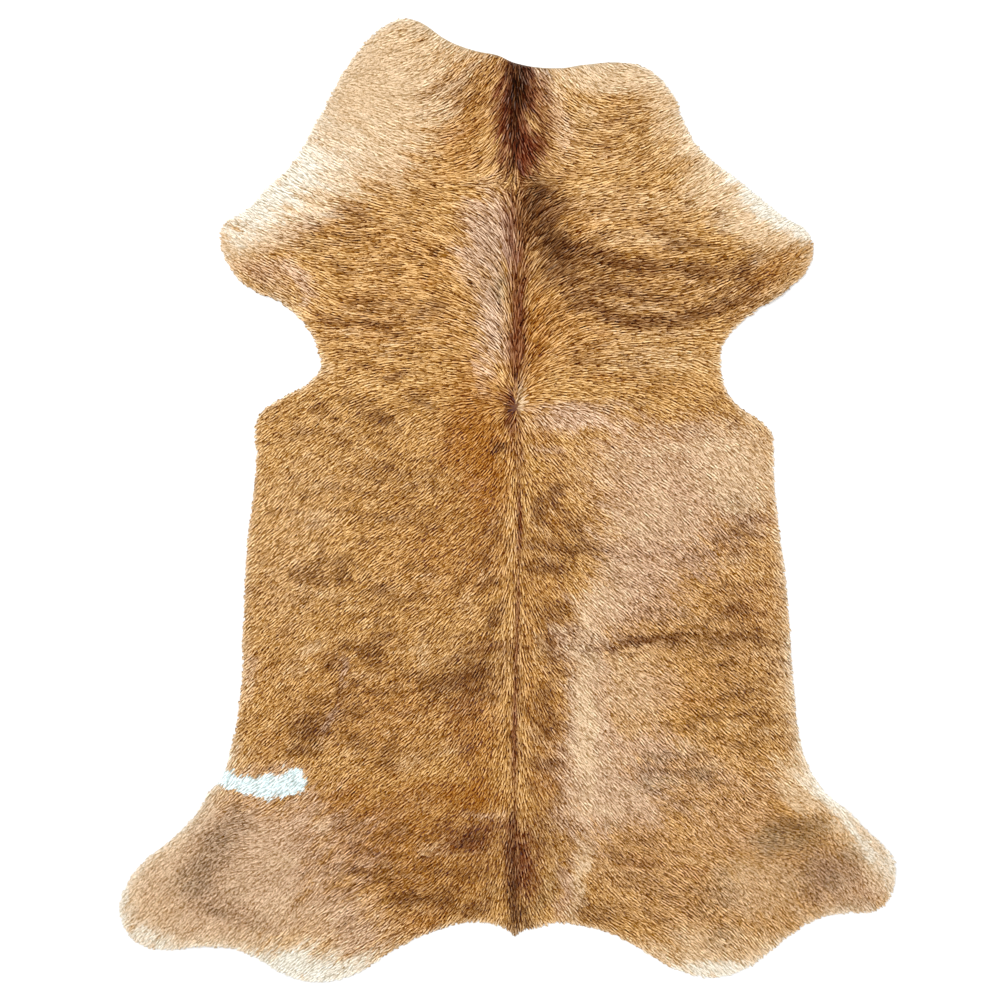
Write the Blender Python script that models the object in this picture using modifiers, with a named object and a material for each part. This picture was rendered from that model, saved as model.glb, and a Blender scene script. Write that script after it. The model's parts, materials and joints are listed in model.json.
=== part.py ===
"""A whole cowhide with its hair left on, tanned, trimmed and laid flat with the hair side up.

The hide lies on z = 0 with its neck towards +Y and its tail towards -Y. It is one solid: the flesh side is
an open sheet that follows the floor, apart from its creases and lifted edges, and Solidify raises the hair
side over it by the depth of leather and lying hair at each point. All sizes are in metres.
"""
import math

import bpy
from mathutils import Vector
from mathutils.geometry import delaunay_2d_cdt
from mathutils.kdtree import KDTree

# Driving dimensions
LEATHER_DEPTH = 0.0020      # tanned skin
COAT_DEPTH = 0.0032         # lying hair over the back and flanks
RIM_DEPTH = 0.0032          # leather and short hair at the trimmed edge
RIM_SLOPE = 0.030           # distance over which the coat comes down to the edge
RIM_LOOP = 0.014            # inset of the loop of points that shapes this slope
DEEPEST = 0.0120            # leather and hair may be no deeper than this

SEGMENTS_PER_SPAN = 5       # straight segments between two outline points
FIELD_SPACING = 0.050       # distance between the points of the open field
RAIL_SPACING = 0.040        # distance between the points along a crease or the spine
CLEAR_OF_RIM = 0.032        # field points keep this far from the edge
CLEAR_OF_RAIL = 0.022       # and this far from creases and spine

# The trimmed edge, clockwise as seen from above: stretch, then its points (x, y)
OUTLINE = {
    "neck": [(0.016, 0.948), (0.114, 0.937), (0.162, 0.944), (0.255, 0.948), (0.305, 0.933),
             (0.364, 0.867), (0.377, 0.828), (0.414, 0.763)],
    "right foreleg": [(0.516, 0.680), (0.599, 0.613), (0.655, 0.572), (0.658, 0.513), (0.597, 0.446),
                      (0.542, 0.411)],
    "right armpit": [(0.473, 0.346), (0.462, 0.309), (0.482, 0.220), (0.553, 0.165), (0.573, 0.139),
                     (0.577, 0.091)],
    "right flank": [(0.579, 0.022), (0.605, -0.196), (0.627, -0.478), (0.638, -0.543), (0.684, -0.633)],
    "right hind leg": [(0.734, -0.674), (0.771, -0.711), (0.832, -0.776), (0.842, -0.809),
                       (0.821, -0.880), (0.790, -0.898), (0.736, -0.900), (0.675, -0.913),
                       (0.619, -0.944)],
    "right rump": [(0.516, -1.022), (0.458, -1.039), (0.392, -1.033), (0.223, -0.944), (0.158, -0.928),
                   (0.108, -0.922), (0.062, -0.933), (0.029, -0.941)],
    "tail": [(0.014, -0.952)],
    "left rump": [(0.001, -0.939), (-0.064, -0.920), (-0.125, -0.928), (-0.225, -0.967),
                  (-0.342, -1.037), (-0.403, -1.050), (-0.462, -1.044)],
    "left hind leg": [(-0.582, -0.983), (-0.647, -0.974), (-0.782, -0.976), (-0.819, -0.954),
                      (-0.845, -0.883), (-0.832, -0.846), (-0.803, -0.800), (-0.712, -0.722),
                      (-0.671, -0.674)],
    "left flank": [(-0.645, -0.630), (-0.627, -0.613), (-0.601, -0.539), (-0.579, -0.391),
                   (-0.577, -0.304), (-0.566, -0.087), (-0.547, 0.091)],
    "left armpit": [(-0.551, 0.139), (-0.538, 0.185), (-0.495, 0.217), (-0.414, 0.270),
                    (-0.408, 0.304)],
    "left foreleg": [(-0.486, 0.422), (-0.542, 0.446), (-0.586, 0.478), (-0.627, 0.565),
                     (-0.619, 0.596), (-0.571, 0.626), (-0.521, 0.678), (-0.468, 0.730),
                     (-0.425, 0.804)],
    "left shoulder": [(-0.316, 0.985), (-0.245, 1.039), (-0.212, 1.044), (-0.125, 0.994),
                      (-0.068, 0.974), (-0.023, 0.965)],
}
POINTED = "tail"            # the one stretch that ends in a corner

# Where the coat is deeper or shorter: place, x, y, reach across, reach along, change of depth
COAT_CHANGES = [
    ("mane", 0.020, 0.800, 0.060, 0.200, 0.0036),
    ("shoulders", 0.020, 0.420, 0.380, 0.300, 0.0010),
    ("left foreleg", -0.540, 0.560, 0.170, 0.190, -0.0018),
    ("left shoulder lobe", -0.230, 0.960, 0.160, 0.140, -0.0014),
    ("right foreleg", 0.600, 0.550, 0.150, 0.170, -0.0016),
    ("left hind leg", -0.720, -0.850, 0.230, 0.200, -0.0018),
    ("right hind leg", 0.740, -0.800, 0.230, 0.190, -0.0018),
    ("tail root", 0.016, -0.880, 0.045, 0.110, 0.0014),
    ("whorl", 0.034, 0.191, 0.024, 0.024, -0.0014),
]

# Edges that stand off the floor: place, x, y, reach, height
LIFTED_EDGES = [
    ("left foreleg", -0.520, 0.430, 0.110, 0.0055),
    ("right foreleg", 0.575, 0.430, 0.115, 0.0065),
    ("right thigh", 0.780, -0.722, 0.120, 0.0065),
    ("left hock", -0.655, -0.974, 0.070, 0.0035),
]

# Slow swells of the lying sheet: place, x, y, reach across, reach along, height
SWELLS = [
    ("left shoulder", -0.260, 0.520, 0.170, 0.230, 0.0013),
    ("right shoulder", 0.340, 0.610, 0.190, 0.160, 0.0015),
    ("neck", 0.110, 0.860, 0.120, 0.110, 0.0010),
    ("right ribs", 0.300, -0.040, 0.210, 0.130, 0.0012),
    ("left belly", -0.420, -0.120, 0.150, 0.300, 0.0011),
    ("loin", 0.080, -0.520, 0.240, 0.170, 0.0009),
    ("left thigh", -0.470, -0.800, 0.180, 0.150, 0.0014),
    ("right rump", 0.430, -0.830, 0.160, 0.190, 0.0012),
]

# Old fold marks and a scar: place, start x, start y, end x, end y, height, half width
CREASES = [
    ("behind the shoulder", 0.040, 0.111, 0.410, 0.111, 0.0026, 0.014),
    ("right loin", 0.190, -0.324, 0.405, -0.286, 0.0022, 0.013),
    ("scar on the left flank", -0.356, -0.345, -0.380, -0.510, 0.0016, 0.012),
]
CREASE_FADE = 0.25          # share of its length over which each end of a crease dies away
RESTING = 0.0002            # a sheet less than this off the floor lies flat on it

# The backbone: the coat stands up along the neck and parts behind the whorl
SPINE_TOP = (0.017, 0.900)
SPINE_END = (0.016, -0.900)
SPINE_HALF_WIDTH = 0.020
NECK_RIDGE = 0.0012
BACK_PARTING = -0.0009
WHORL_Y = 0.191

COAT_COLOUR = (0.385, 0.200, 0.068, 1.0)
COAT_ROUGHNESS = 0.55


def clear_scene():
    """Remove every object of the scene."""
    for thing in list(bpy.data.objects):
        bpy.data.objects.remove(thing, do_unlink=True)


def new_collection(name):
    """A fresh collection in the scene."""
    collection = bpy.data.collections.new(name)
    bpy.context.scene.collection.children.link(collection)
    return collection


def outline_curve(collection):
    """The edge of the hide as one smooth closed curve with a corner at the tail."""
    data = bpy.data.curves.new("hide_outline", "CURVE")
    data.dimensions = "2D"
    data.resolution_u = SEGMENTS_PER_SPAN
    points = [(stretch, x, y) for stretch, places in OUTLINE.items() for x, y in places]
    spline = data.splines.new("BEZIER")
    spline.bezier_points.add(len(points) - 1)
    spline.use_cyclic_u = True
    for knot, (stretch, x, y) in zip(spline.bezier_points, points):
        knot.co = (x, y, 0)
        handle = "VECTOR" if stretch == POINTED else "AUTO"
        knot.handle_left_type = handle
        knot.handle_right_type = handle
    guide = bpy.data.objects.new("hide_outline", data)
    guide.hide_render = True
    guide.display_type = "WIRE"
    collection.objects.link(guide)
    return guide


def edge_loop(guide):
    """The points of the outline in order, moved so that the middle of the hide is at the origin."""
    bpy.context.view_layer.update()
    depsgraph = bpy.context.evaluated_depsgraph_get()
    mesh = bpy.data.meshes.new_from_object(guide.evaluated_get(depsgraph))
    loop = [Vector(vertex.co[:2]) for vertex in mesh.vertices]
    bpy.data.meshes.remove(mesh)
    across = [point.x for point in loop]
    along = [point.y for point in loop]
    middle = Vector((min(across) + max(across), min(along) + max(along))) / 2
    return [point - middle for point in loop]


def nearest_finder(points):
    """A search tree over flat points."""
    tree = KDTree(len(points))
    for index, point in enumerate(points):
        tree.insert((point.x, point.y, 0), index)
    tree.balance()
    return tree


def distance(tree, point):
    """How far a flat point lies from the nearest point of a search tree."""
    return tree.find((point.x, point.y, 0))[2]


def inner_loop(loop, rim):
    """Points a little inside the edge, left out where the edge turns too tightly for them."""
    kept = []
    for index, point in enumerate(loop):
        ahead = loop[(index + 1) % len(loop)] - loop[index - 1]
        inward = Vector((ahead.y, -ahead.x)).normalized()
        candidate = point + inward * RIM_LOOP
        if distance(rim, candidate) > RIM_LOOP * 0.9:
            kept.append(candidate)
    return kept


def rails_beside(start, end, half_width):
    """Three parallel rows of points along a straight crease: its crest and both its feet."""
    run = end - start
    steps = max(2, round(run.length / RAIL_SPACING))
    side = Vector((-run.y, run.x)).normalized() * half_width
    return [[start + run * (step / steps) + side * shift for step in range(steps + 1)]
            for shift in (-1, 0, 1)]


def field_points(loop, rim, rails):
    """A staggered lattice of points over the open part of the hide."""
    lows = [min(point[axis] for point in loop) for axis in (0, 1)]
    highs = [max(point[axis] for point in loop) for axis in (0, 1)]
    row_height = FIELD_SPACING * math.sqrt(3) / 2
    kept = []
    for row in range(int((highs[1] - lows[1]) / row_height) + 1):
        shift = FIELD_SPACING / 2 if row % 2 else 0
        for column in range(int((highs[0] - lows[0]) / FIELD_SPACING) + 1):
            point = Vector((lows[0] + shift + column * FIELD_SPACING, lows[1] + row * row_height))
            if distance(rim, point) < CLEAR_OF_RIM or not is_inside(point, loop):
                continue
            if distance(rails, point) > CLEAR_OF_RAIL:
                kept.append(point)
    return kept


def is_inside(point, loop):
    """Whether a flat point lies inside the outline, by counting the edges to its right."""
    inside = False
    for index, end in enumerate(loop):
        start = loop[index - 1]
        if (start.y > point.y) != (end.y > point.y):
            crossing = start.x + (point.y - start.y) * (end.x - start.x) / (end.y - start.y)
            if crossing > point.x:
                inside = not inside
    return inside


def bell(offset, reach):
    """One at the middle, falling smoothly to nothing a little past the reach."""
    return math.exp(-2 * (offset / reach) ** 2)


def ease(share):
    """Zero to one along a smooth curve that starts steeply and ends level."""
    return math.sin(min(max(share, 0), 1) * math.pi / 2)


def crease_share(point, start, end, half_width):
    """One on the crest at mid length, falling to nothing at the feet and the two ends."""
    run = end - start
    share = min(max((point - start).dot(run) / run.length_squared, 0), 1)
    offset = (point - start - run * share).length
    return max(0, 1 - offset / half_width) * ease(min(share, 1 - share) / CREASE_FADE)


def floor_clearance(point):
    """Height of the flesh side over the floor: slow swells, lifted edges and old fold marks."""
    height = 0
    for _, x, y, reach_across, reach_along, rise in SWELLS:
        height += rise * bell(point.x - x, reach_across) * bell(point.y - y, reach_along)
    height = max(0, height - RESTING)
    for _, x, y, reach, lift in LIFTED_EDGES:
        height += lift * bell((point - Vector((x, y))).length, reach)
    for _, x0, y0, x1, y1, crest, half_width in CREASES:
        height += crest * crease_share(point, Vector((x0, y0)), Vector((x1, y1)), half_width)
    return height if height > RESTING else 0


def sheet_depth(point, rim_distance):
    """Leather and lying hair at a point, coming down to the edge."""
    coat = COAT_DEPTH
    for _, x, y, reach_across, reach_along, change in COAT_CHANGES:
        coat += change * bell(point.x - x, reach_across) * bell(point.y - y, reach_along)
    on_spine = bell(point.x - SPINE_TOP[0], SPINE_HALF_WIDTH)
    coat += on_spine * (NECK_RIDGE if point.y > WHORL_Y else BACK_PARTING)
    full = LEATHER_DEPTH + coat
    return RIM_DEPTH + (full - RIM_DEPTH) * ease(rim_distance / RIM_SLOPE)


def flesh_side(loop):
    """The open sheet of the flesh side, triangulated through the edge, the creases and the field."""
    rim = nearest_finder(loop)
    rows = rails_beside(Vector(SPINE_TOP), Vector(SPINE_END), SPINE_HALF_WIDTH)
    for _, x0, y0, x1, y1, _, half_width in CREASES:
        rows += rails_beside(Vector((x0, y0)), Vector((x1, y1)), half_width)
    rails = nearest_finder([point for row in rows for point in row])
    points = list(loop)
    chains = [(index, (index + 1) % len(loop)) for index in range(len(loop))]
    for row in rows:
        first = len(points)
        points += row
        chains += [(first + step, first + step + 1) for step in range(len(row) - 1)]
    ring = [point for point in inner_loop(loop, rim) if distance(rails, point) > RIM_LOOP]
    points += ring + field_points(loop, rim, rails)
    flat, _, triangles, _, _, _ = delaunay_2d_cdt(points, chains, [], 1, 1e-5)
    mesh = bpy.data.meshes.new("hide")
    mesh.from_pydata([(point.x, point.y, floor_clearance(point)) for point in flat], [], triangles)
    depths = [sheet_depth(point, distance(rim, point)) for point in flat]
    return mesh, depths


def coat_material():
    """Golden tan hair."""
    material = bpy.data.materials.new("hide_coat")
    material.use_nodes = True
    shader = material.node_tree.nodes["Principled BSDF"]
    shader.inputs["Base Color"].default_value = COAT_COLOUR
    shader.inputs["Roughness"].default_value = COAT_ROUGHNESS
    shader.inputs["Metallic"].default_value = 0.0
    return material


def build_hide(collection, loop):
    """The whole hide as one closed solid."""
    mesh, depths = flesh_side(loop)
    mesh.materials.append(coat_material())
    hide = bpy.data.objects.new("hide", mesh)
    collection.objects.link(hide)
    group = hide.vertex_groups.new(name="depth")
    for index, depth in enumerate(depths):
        group.add([index], depth / DEEPEST, "REPLACE")
    raise_coat = hide.modifiers.new("raise_coat", "SOLIDIFY")
    raise_coat.thickness = DEEPEST
    raise_coat.offset = 1
    raise_coat.use_even_offset = False
    raise_coat.use_rim = True
    raise_coat.vertex_group = group.name
    mesh.shade_smooth()
    return hide


def main():
    clear_scene()
    guides = new_collection("guides")
    guide = outline_curve(guides)
    build_hide(new_collection("leather_hide"), edge_loop(guide))


main()
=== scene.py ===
"""The looks of a hair-on cowhide that lies flat: its leather and its coat, lock by lock.

The coat follows a chart. COAT_LIE says which way the hair lies, COAT_LENGTH where it is longer or
shorter, and COAT_MARKS where it turns from honey to another colour. Sizes are in metres, but for the marks
in millimetres, in the frame of the part: the neck is towards +Y, the tail towards -Y and the hair side up.
"""
import json
import math
from collections import namedtuple
from functools import partial

import bmesh
import bpy
import numpy as np
from bpy.props import FloatProperty, FloatVectorProperty, IntProperty, PointerProperty
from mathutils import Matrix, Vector
from mathutils.bvhtree import BVHTree
from mathutils.geometry import delaunay_2d_cdt
from mathutils.kdtree import KDTree

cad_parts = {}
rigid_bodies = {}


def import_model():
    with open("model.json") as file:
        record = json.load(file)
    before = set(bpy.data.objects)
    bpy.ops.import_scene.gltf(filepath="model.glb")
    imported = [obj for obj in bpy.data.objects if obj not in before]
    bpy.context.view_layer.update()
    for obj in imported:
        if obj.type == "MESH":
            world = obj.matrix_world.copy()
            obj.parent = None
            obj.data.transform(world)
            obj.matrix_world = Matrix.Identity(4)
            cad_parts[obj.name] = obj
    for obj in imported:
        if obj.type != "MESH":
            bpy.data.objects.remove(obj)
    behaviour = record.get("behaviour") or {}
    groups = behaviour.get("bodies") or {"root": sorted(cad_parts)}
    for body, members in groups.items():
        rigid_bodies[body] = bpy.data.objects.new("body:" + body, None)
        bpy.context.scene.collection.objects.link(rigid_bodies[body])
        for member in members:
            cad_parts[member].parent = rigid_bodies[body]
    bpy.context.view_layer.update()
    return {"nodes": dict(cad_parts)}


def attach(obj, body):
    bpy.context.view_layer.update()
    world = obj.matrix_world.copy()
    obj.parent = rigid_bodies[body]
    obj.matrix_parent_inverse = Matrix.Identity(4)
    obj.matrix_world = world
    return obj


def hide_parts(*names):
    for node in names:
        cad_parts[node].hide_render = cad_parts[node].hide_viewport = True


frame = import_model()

bl_info = {
    "name": "Hair-on Cowhide",
    "version": (1, 0, 0),
    "blender": (4, 5, 0),
    "location": "View3D > Sidebar > Cowhide",
    "description": "Makes the leather and the hair of a cowhide that lies flat",
    "category": "Object",
}

SOLID = "hide"                      # the solid that the leather stands for
BODY = "root"

# The spine, seen from above
SPINE_TOP = (0.017, 0.900)
SPINE_END = (0.016, -0.900)

# Which way the hair lies: degrees below the outward level, positive towards the tail, at each distance
# from the spine in LIE_STOPS. Both sides lie alike.
LIE_STOPS = (0.0, 0.03, 0.065, 0.11, 0.16, 0.24, 0.34, 0.46, 0.60)
LieRow = namedtuple("LieRow", "y angles")
COAT_LIE = [
    LieRow(0.960, (90, 60, 48, 44, 42, 20, 24, 30, 30)),
    LieRow(0.870, (90, 60, 44, 40, 30, -10, -20, -22, -22)),
    LieRow(0.783, (90, 56, 38, 22, 5, -22, -32, -24, -24)),
    LieRow(0.730, (85, 48, 34, 16, 0, -18, -36, -32, -32)),
    LieRow(0.693, (0, 2, 2, -3, -10, -16, -28, -36, -36)),
    LieRow(0.652, (-80, -38, -25, -20, -12, -12, -18, -28, -22)),
    LieRow(0.565, (-90, -50, -40, -32, -20, -6, 0, -12, -28)),
    LieRow(0.435, (-90, -52, -40, -30, -16, -5, -4, -30, -38)),
    LieRow(0.348, (-90, -52, -38, -20, -6, 2, 2, 0, 0)),
    LieRow(0.261, (-86, -42, -22, -8, 0, 2, 12, 26, 34)),
    LieRow(0.217, (-50, -12, -2, 6, 10, 13, 24, 36, 42)),
    LieRow(0.174, (70, 52, 45, 38, 36, 34, 33, 38, 42)),
    LieRow(0.087, (90, 60, 46, 42, 38, 38, 38, 42, 45)),
    LieRow(-0.350, (90, 66, 54, 48, 44, 42, 40, 42, 44)),
    LieRow(-0.560, (90, 72, 60, 51, 46, 42, 40, 42, 46)),
    LieRow(-0.960, (90, 72, 60, 48, 42, 38, 36, 42, 46)),
]
HIP_SWIRL = (0.570, -0.740, 0.070, -36)     # from the spine, along it, reach, change of angle

# Where the hair is longer or shorter: place, x, y, reach across, reach along, change of length
LengthRow = namedtuple("LengthRow", "place x y across along change")
COAT_LENGTH = [
    LengthRow("mane", 0.017, 0.800, 0.060, 0.170, 0.014),
    LengthRow("withers", 0.020, 0.460, 0.100, 0.300, 0.008),
    LengthRow("shoulders", 0.016, 0.550, 0.560, 0.360, 0.008),
    LengthRow("left neck", -0.330, 0.820, 0.130, 0.200, -0.005),
    LengthRow("right neck", 0.350, 0.800, 0.110, 0.170, -0.002),
    LengthRow("left foreleg", -0.590, 0.570, 0.120, 0.130, -0.004),
    LengthRow("right foreleg", 0.620, 0.560, 0.120, 0.130, -0.004),
    LengthRow("back", 0.016, -0.400, 0.030, 0.500, 0.005),
    LengthRow("rump", 0.016, -0.730, 0.420, 0.190, -0.0014),
    LengthRow("left hind leg", -0.640, -0.820, 0.240, 0.180, -0.003),
    LengthRow("right hind leg", 0.680, -0.800, 0.220, 0.160, -0.003),
]

# The colours of the coat. Later tones lie over earlier ones.
TONES = ("honey", "amber", "fawn", "cream", "ash", "russet", "brindle", "mane", "chalk", "snow")

# The marks on the honey ground, by region and tone. Each is an oval: x, y, half length and half width in
# millimetres, turn in degrees anticlockwise, and strength in percent. Two kinds are no tone of their own:
# "rim" is where the hair pales towards the trimmed edge, and "bands" is where fine dark waves cross it.
Mark = namedtuple("Mark", "tone x y length width turn strength")
COAT_MARKS = {
    "neck": {
        "rim": [(-364, 826, 239, 87, 62, 60), (-168, 1022, 135, 65, -20, 60), (245, 913, 174, 65, -5, 60),
            (418, 761, 196, 74, -50, 50)],
        "bands": [(245, 761, 152, 152, 0, 22), (-103, 848, 130, 109, 25, 22)],
        "amber": [(-103, 852, 161, 87, 60, 32), (-134, 939, 34, 15, 50, 25), (-82, 939, 39, 15, 35, 22),
            (-138, 859, 32, 17, 10, 25), (-68, 863, 34, 17, 10, 28), (-60, 813, 68, 22, 15, 33),
            (-114, 787, 49, 19, 10, 28), (-92, 757, 29, 29, 0, 25), (-112, 717, 34, 22, 30, 19),
            (271, 898, 34, 17, 0, 35), (227, 863, 17, 17, 0, 45), (218, 820, 34, 12, 10, 35),
            (214, 765, 17, 39, 0, 35), (288, 739, 24, 19, 0, 30)],
        "fawn": [(114, 822, 87, 28, -80, 55), (-295, 744, 109, 65, 0, 50), (-338, 826, 143, 87, 55, 40),
            (-190, 880, 109, 48, 30, 30), (-234, 907, 70, 17, 20, 40)],
        "cream": [(-288, 887, 191, 130, 70, 88), (-342, 761, 178, 100, 50, 80), (-229, 1000, 74, 39, 15, 50),
            (-147, 848, 152, 52, 70, 25), (210, 909, 109, 43, 5, 55), (342, 837, 130, 39, -60, 35),
            (245, 783, 152, 96, 0, 12), (-282, 880, 185, 135, 72, 68), (197, 913, 78, 35, 0, 60),
            (179, 844, 26, 17, -70, 40), (366, 830, 113, 33, -62, 29), (288, 930, 65, 17, -15, 48)],
        "ash": [(-195, 1017, 19, 15, 0, 20), (149, 830, 22, 19, 0, 25), (179, 813, 24, 15, 0, 20)],
        "russet": [(16, 874, 117, 57, 88, 100), (27, 761, 78, 52, 88, 100), (75, 826, 109, 17, 84, 50),
            (-47, 739, 48, 13, 20, 30), (105, 713, 39, 11, -20, 35)],
        "brindle": [(84, 809, 57, 17, 84, 20), (-73, 887, 61, 11, 68, 35), (-114, 861, 57, 9, 66, 30),
            (-97, 922, 43, 9, 62, 30), (273, 850, 24, 10, 0, 29)],
        "mane": [(21, 891, 91, 30, 88, 95), (12, 778, 96, 17, 90, 60), (49, 791, 83, 15, 88, 25)],
        "chalk": [(-397, 722, 122, 74, 48, 30)],
    },
    "left shoulder": {
        "bands": [(-342, 565, 174, 109, -5, 35), (-299, 370, 217, 109, -3, 45),
            (-168, 609, 109, 130, 0, 25)],
        "amber": [(-353, 598, 130, 57, -10, 15), (-234, 457, 174, 109, 0, 20), (-321, 370, 130, 48, 0, 25),
            (-353, 641, 63, 15, -8, 28), (-190, 565, 87, 30, 0, 14), (-136, 507, 29, 17, 0, 24),
            (-321, 433, 39, 7, 0, 32), (-282, 283, 49, 10, -18, 28), (-353, 309, 32, 12, -38, 24),
            (-155, 243, 22, 15, 20, 28), (-168, 470, 24, 15, 0, 24), (-90, 435, 29, 29, 0, 17),
            (-125, 380, 73, 24, 0, 17)],
        "cream": [(-316, 415, 61, 9, 4, 20), (-268, 313, 20, 13, 0, 24), (-395, 287, 22, 17, 90, 28)],
        "ash": [(-429, 557, 29, 29, 0, 22)],
        "russet": [(-266, 450, 22, 10, 0, 30)],
        "brindle": [(-271, 680, 34, 19, -30, 25), (-234, 657, 22, 10, -20, 25), (-310, 617, 34, 17, 0, 32),
            (-329, 583, 29, 17, 20, 35), (-338, 559, 29, 12, 0, 30), (-386, 552, 19, 17, 0, 25),
            (-223, 613, 24, 12, -10, 34), (-418, 504, 22, 15, 0, 25), (-338, 500, 32, 10, -8, 38),
            (-147, 537, 19, 10, 30, 59), (-168, 415, 34, 19, 20, 50), (-225, 428, 27, 15, 0, 34),
            (-353, 387, 68, 17, 0, 32), (-282, 380, 29, 19, 0, 50), (-229, 391, 37, 15, 15, 29),
            (-249, 267, 29, 12, -8, 63), (-184, 215, 41, 19, -35, 59), (-268, 183, 32, 17, -12, 67)],
    },
    "left foreleg": {
        "rim": [(-516, 467, 130, 26, -32, 25)],
        "amber": [(-549, 504, 54, 19, -18, 45), (-412, 409, 34, 19, -20, 30)],
        "fawn": [(-451, 591, 87, 35, 25, 50), (-521, 500, 74, 39, -25, 50), (-473, 591, 61, 26, 20, 50),
            (-447, 470, 43, 20, -55, 80), (-479, 517, 30, 20, 0, 60), (-442, 428, 17, 15, 0, 70),
            (-521, 554, 30, 17, 0, 40)],
        "cream": [(-429, 626, 117, 35, 35, 50), (-555, 554, 78, 33, 15, 60), (-605, 574, 35, 26, 0, 80),
            (-534, 591, 135, 33, 32, 72), (-451, 639, 87, 22, 32, 64)],
        "brindle": [(-529, 470, 37, 27, -30, 28), (-482, 448, 22, 24, -50, 23)],
        "chalk": [(-508, 661, 135, 50, 40, 85), (-425, 778, 87, 20, 60, 20), (-582, 620, 57, 22, 35, 60),
            (-560, 570, 87, 20, 20, 20)],
    },
    "back": {
        "amber": [(64, 337, 152, 30, 86, 55), (-64, 148, 196, 78, 88, 60), (-38, -65, 174, 57, 88, 35),
            (-60, -500, 152, 61, 88, 50), (-90, 130, 88, 73, 0, 35), (-64, 52, 58, 39, 30, 35)],
        # The first two fawn marks paint a pale band left of the spine: a painted sheen, light reflected off
        # the hair.
        "fawn": [(-40, 572, 109, 63, 86, 95), (-36, 378, 109, 37, 88, 95), (114, 165, 57, 30, 0, 50),
            (88, 107, 52, 11, 0, 50), (118, -291, 35, 15, -30, 60), (129, -339, 30, 20, -45, 50)],
        "cream": [(32, 211, 28, 5, 86, 60), (108, -285, 26, 9, -20, 50), (97, -322, 22, 9, -30, 40),
            (29, 222, 43, 9, 90, 60)],
        # The first, long ash mark lies along that band and is part of the same painted sheen.
        "ash": [(-38, 467, 196, 52, 88, 22), (-12, 457, 39, 17, 80, 55), (18, -944, 19, 15, 90, 28)],
        "russet": [(-38, 500, 196, 52, 87, 10), (3, 587, 117, 17, 88, 50), (25, 620, 109, 20, 90, 55),
            (23, 380, 157, 24, 90, 85), (118, 467, 30, 22, -40, 40), (36, 517, 74, 20, 88, 60),
            (5, 207, 57, 20, 90, 75), (18, -800, 130, 30, 90, 70), (8, 163, 74, 5, 91, 60),
            (27, -33, 87, 5, 90, 65), (23, -243, 87, 5, 88, 70), (16, -467, 135, 5, 89, 50),
            (-14, 117, 26, 17, -30, 40), (25, 109, 87, 11, 90, 41), (25, -43, 109, 9, 90, 45),
            (21, -217, 87, 9, 90, 26), (18, -391, 109, 9, 90, 38), (16, -548, 130, 11, 90, 56)],
        "brindle": [(66, 639, 87, 48, 80, 95), (97, 557, 122, 52, -68, 90), (158, 543, 52, 22, -10, 50)],
        "mane": [(58, 652, 57, 24, 85, 45), (99, 565, 83, 30, -68, 45), (3, 200, 39, 13, 90, 12),
            (3, 196, 54, 13, 90, 16), (-16, 111, 20, 13, -20, 50), (14, -685, 30, 13, 90, 28),
            (12, -826, 113, 17, 90, 50), (38, -902, 43, 26, 90, 41)],
    },
    "right shoulder": {
        "bands": [(288, 457, 283, 130, -8, 35), (505, 457, 109, 87, 25, 30), (245, 283, 239, 74, -3, 30),
            (245, 620, 174, 65, 0, 25)],
        "amber": [(288, 467, 239, 87, 0, 20), (549, 467, 78, 43, 35, 35), (114, 359, 109, 74, -50, 40),
            (147, 591, 78, 52, -30, 30), (266, 626, 130, 48, 0, 16), (214, 357, 29, 15, 0, 40),
            (201, 265, 24, 12, 0, 40), (266, 261, 34, 10, 0, 25), (353, 239, 73, 10, 0, 25)],
        "cream": [(299, 415, 109, 7, -9, 30), (321, 363, 130, 11, 2, 25), (288, 570, 130, 15, 0, 25),
            (288, 641, 174, 39, 0, 20), (321, 304, 143, 39, 0, 28)],
        "brindle": [(299, 474, 217, 96, -4, 30), (227, 522, 83, 20, -16, 65), (310, 509, 65, 17, 5, 45),
            (397, 552, 78, 15, -4, 50), (405, 498, 61, 20, -8, 60), (201, 465, 83, 17, -16, 65),
            (303, 439, 65, 15, -6, 50), (516, 504, 52, 26, 62, 60), (201, 411, 70, 20, -22, 80),
            (292, 391, 83, 20, -4, 75), (397, 404, 65, 20, 8, 65), (479, 428, 65, 20, 18, 60),
            (532, 457, 39, 20, 30, 50), (125, 517, 35, 26, -60, 40), (127, 639, 39, 12, -40, 34),
            (203, 646, 19, 12, 0, 29), (349, 585, 37, 22, -10, 42), (299, 594, 34, 12, -12, 34),
            (397, 639, 12, 29, 0, 35), (462, 604, 15, 44, 10, 35), (271, 313, 24, 12, 0, 34),
            (462, 222, 29, 10, 8, 38)],
    },
    "right foreleg": {
        "rim": [(549, 657, 130, 52, -40, 80), (571, 457, 96, 17, 36, 12)],
        "amber": [(597, 526, 74, 43, 30, 25)],
        "cream": [(558, 587, 91, 30, -12, 60), (501, 639, 165, 65, -40, 80), (523, 652, 157, 35, -40, 72),
            (625, 570, 48, 20, -40, 56), (429, 739, 48, 20, -55, 48)],
        # This grey along the foreleg's lower edge is a painted shadow.
        "ash": [(597, 452, 49, 19, 42, 20)],
        "brindle": [(584, 470, 74, 22, 36, 12)],
        "chalk": [(566, 646, 122, 35, -40, 85), (636, 578, 39, 17, -50, 40), (571, 626, 100, 17, -38, 40)],
    },
    "left flank": {
        "bands": [(-321, 152, 239, 130, -15, 35), (-277, 0, 261, 109, 0, 35), (-38, -130, 130, 74, 55, 40),
            (-364, -196, 239, 109, -8, 40), (-277, -370, 283, 130, 5, 40), (-82, -391, 109, 109, 12, 35),
            (-364, -522, 239, 87, 0, 35)],
        "amber": [(-60, 65, 130, 65, 90, 30), (-342, -435, 239, 152, 0, 10), (-321, -435, 261, 130, 0, 15),
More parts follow.
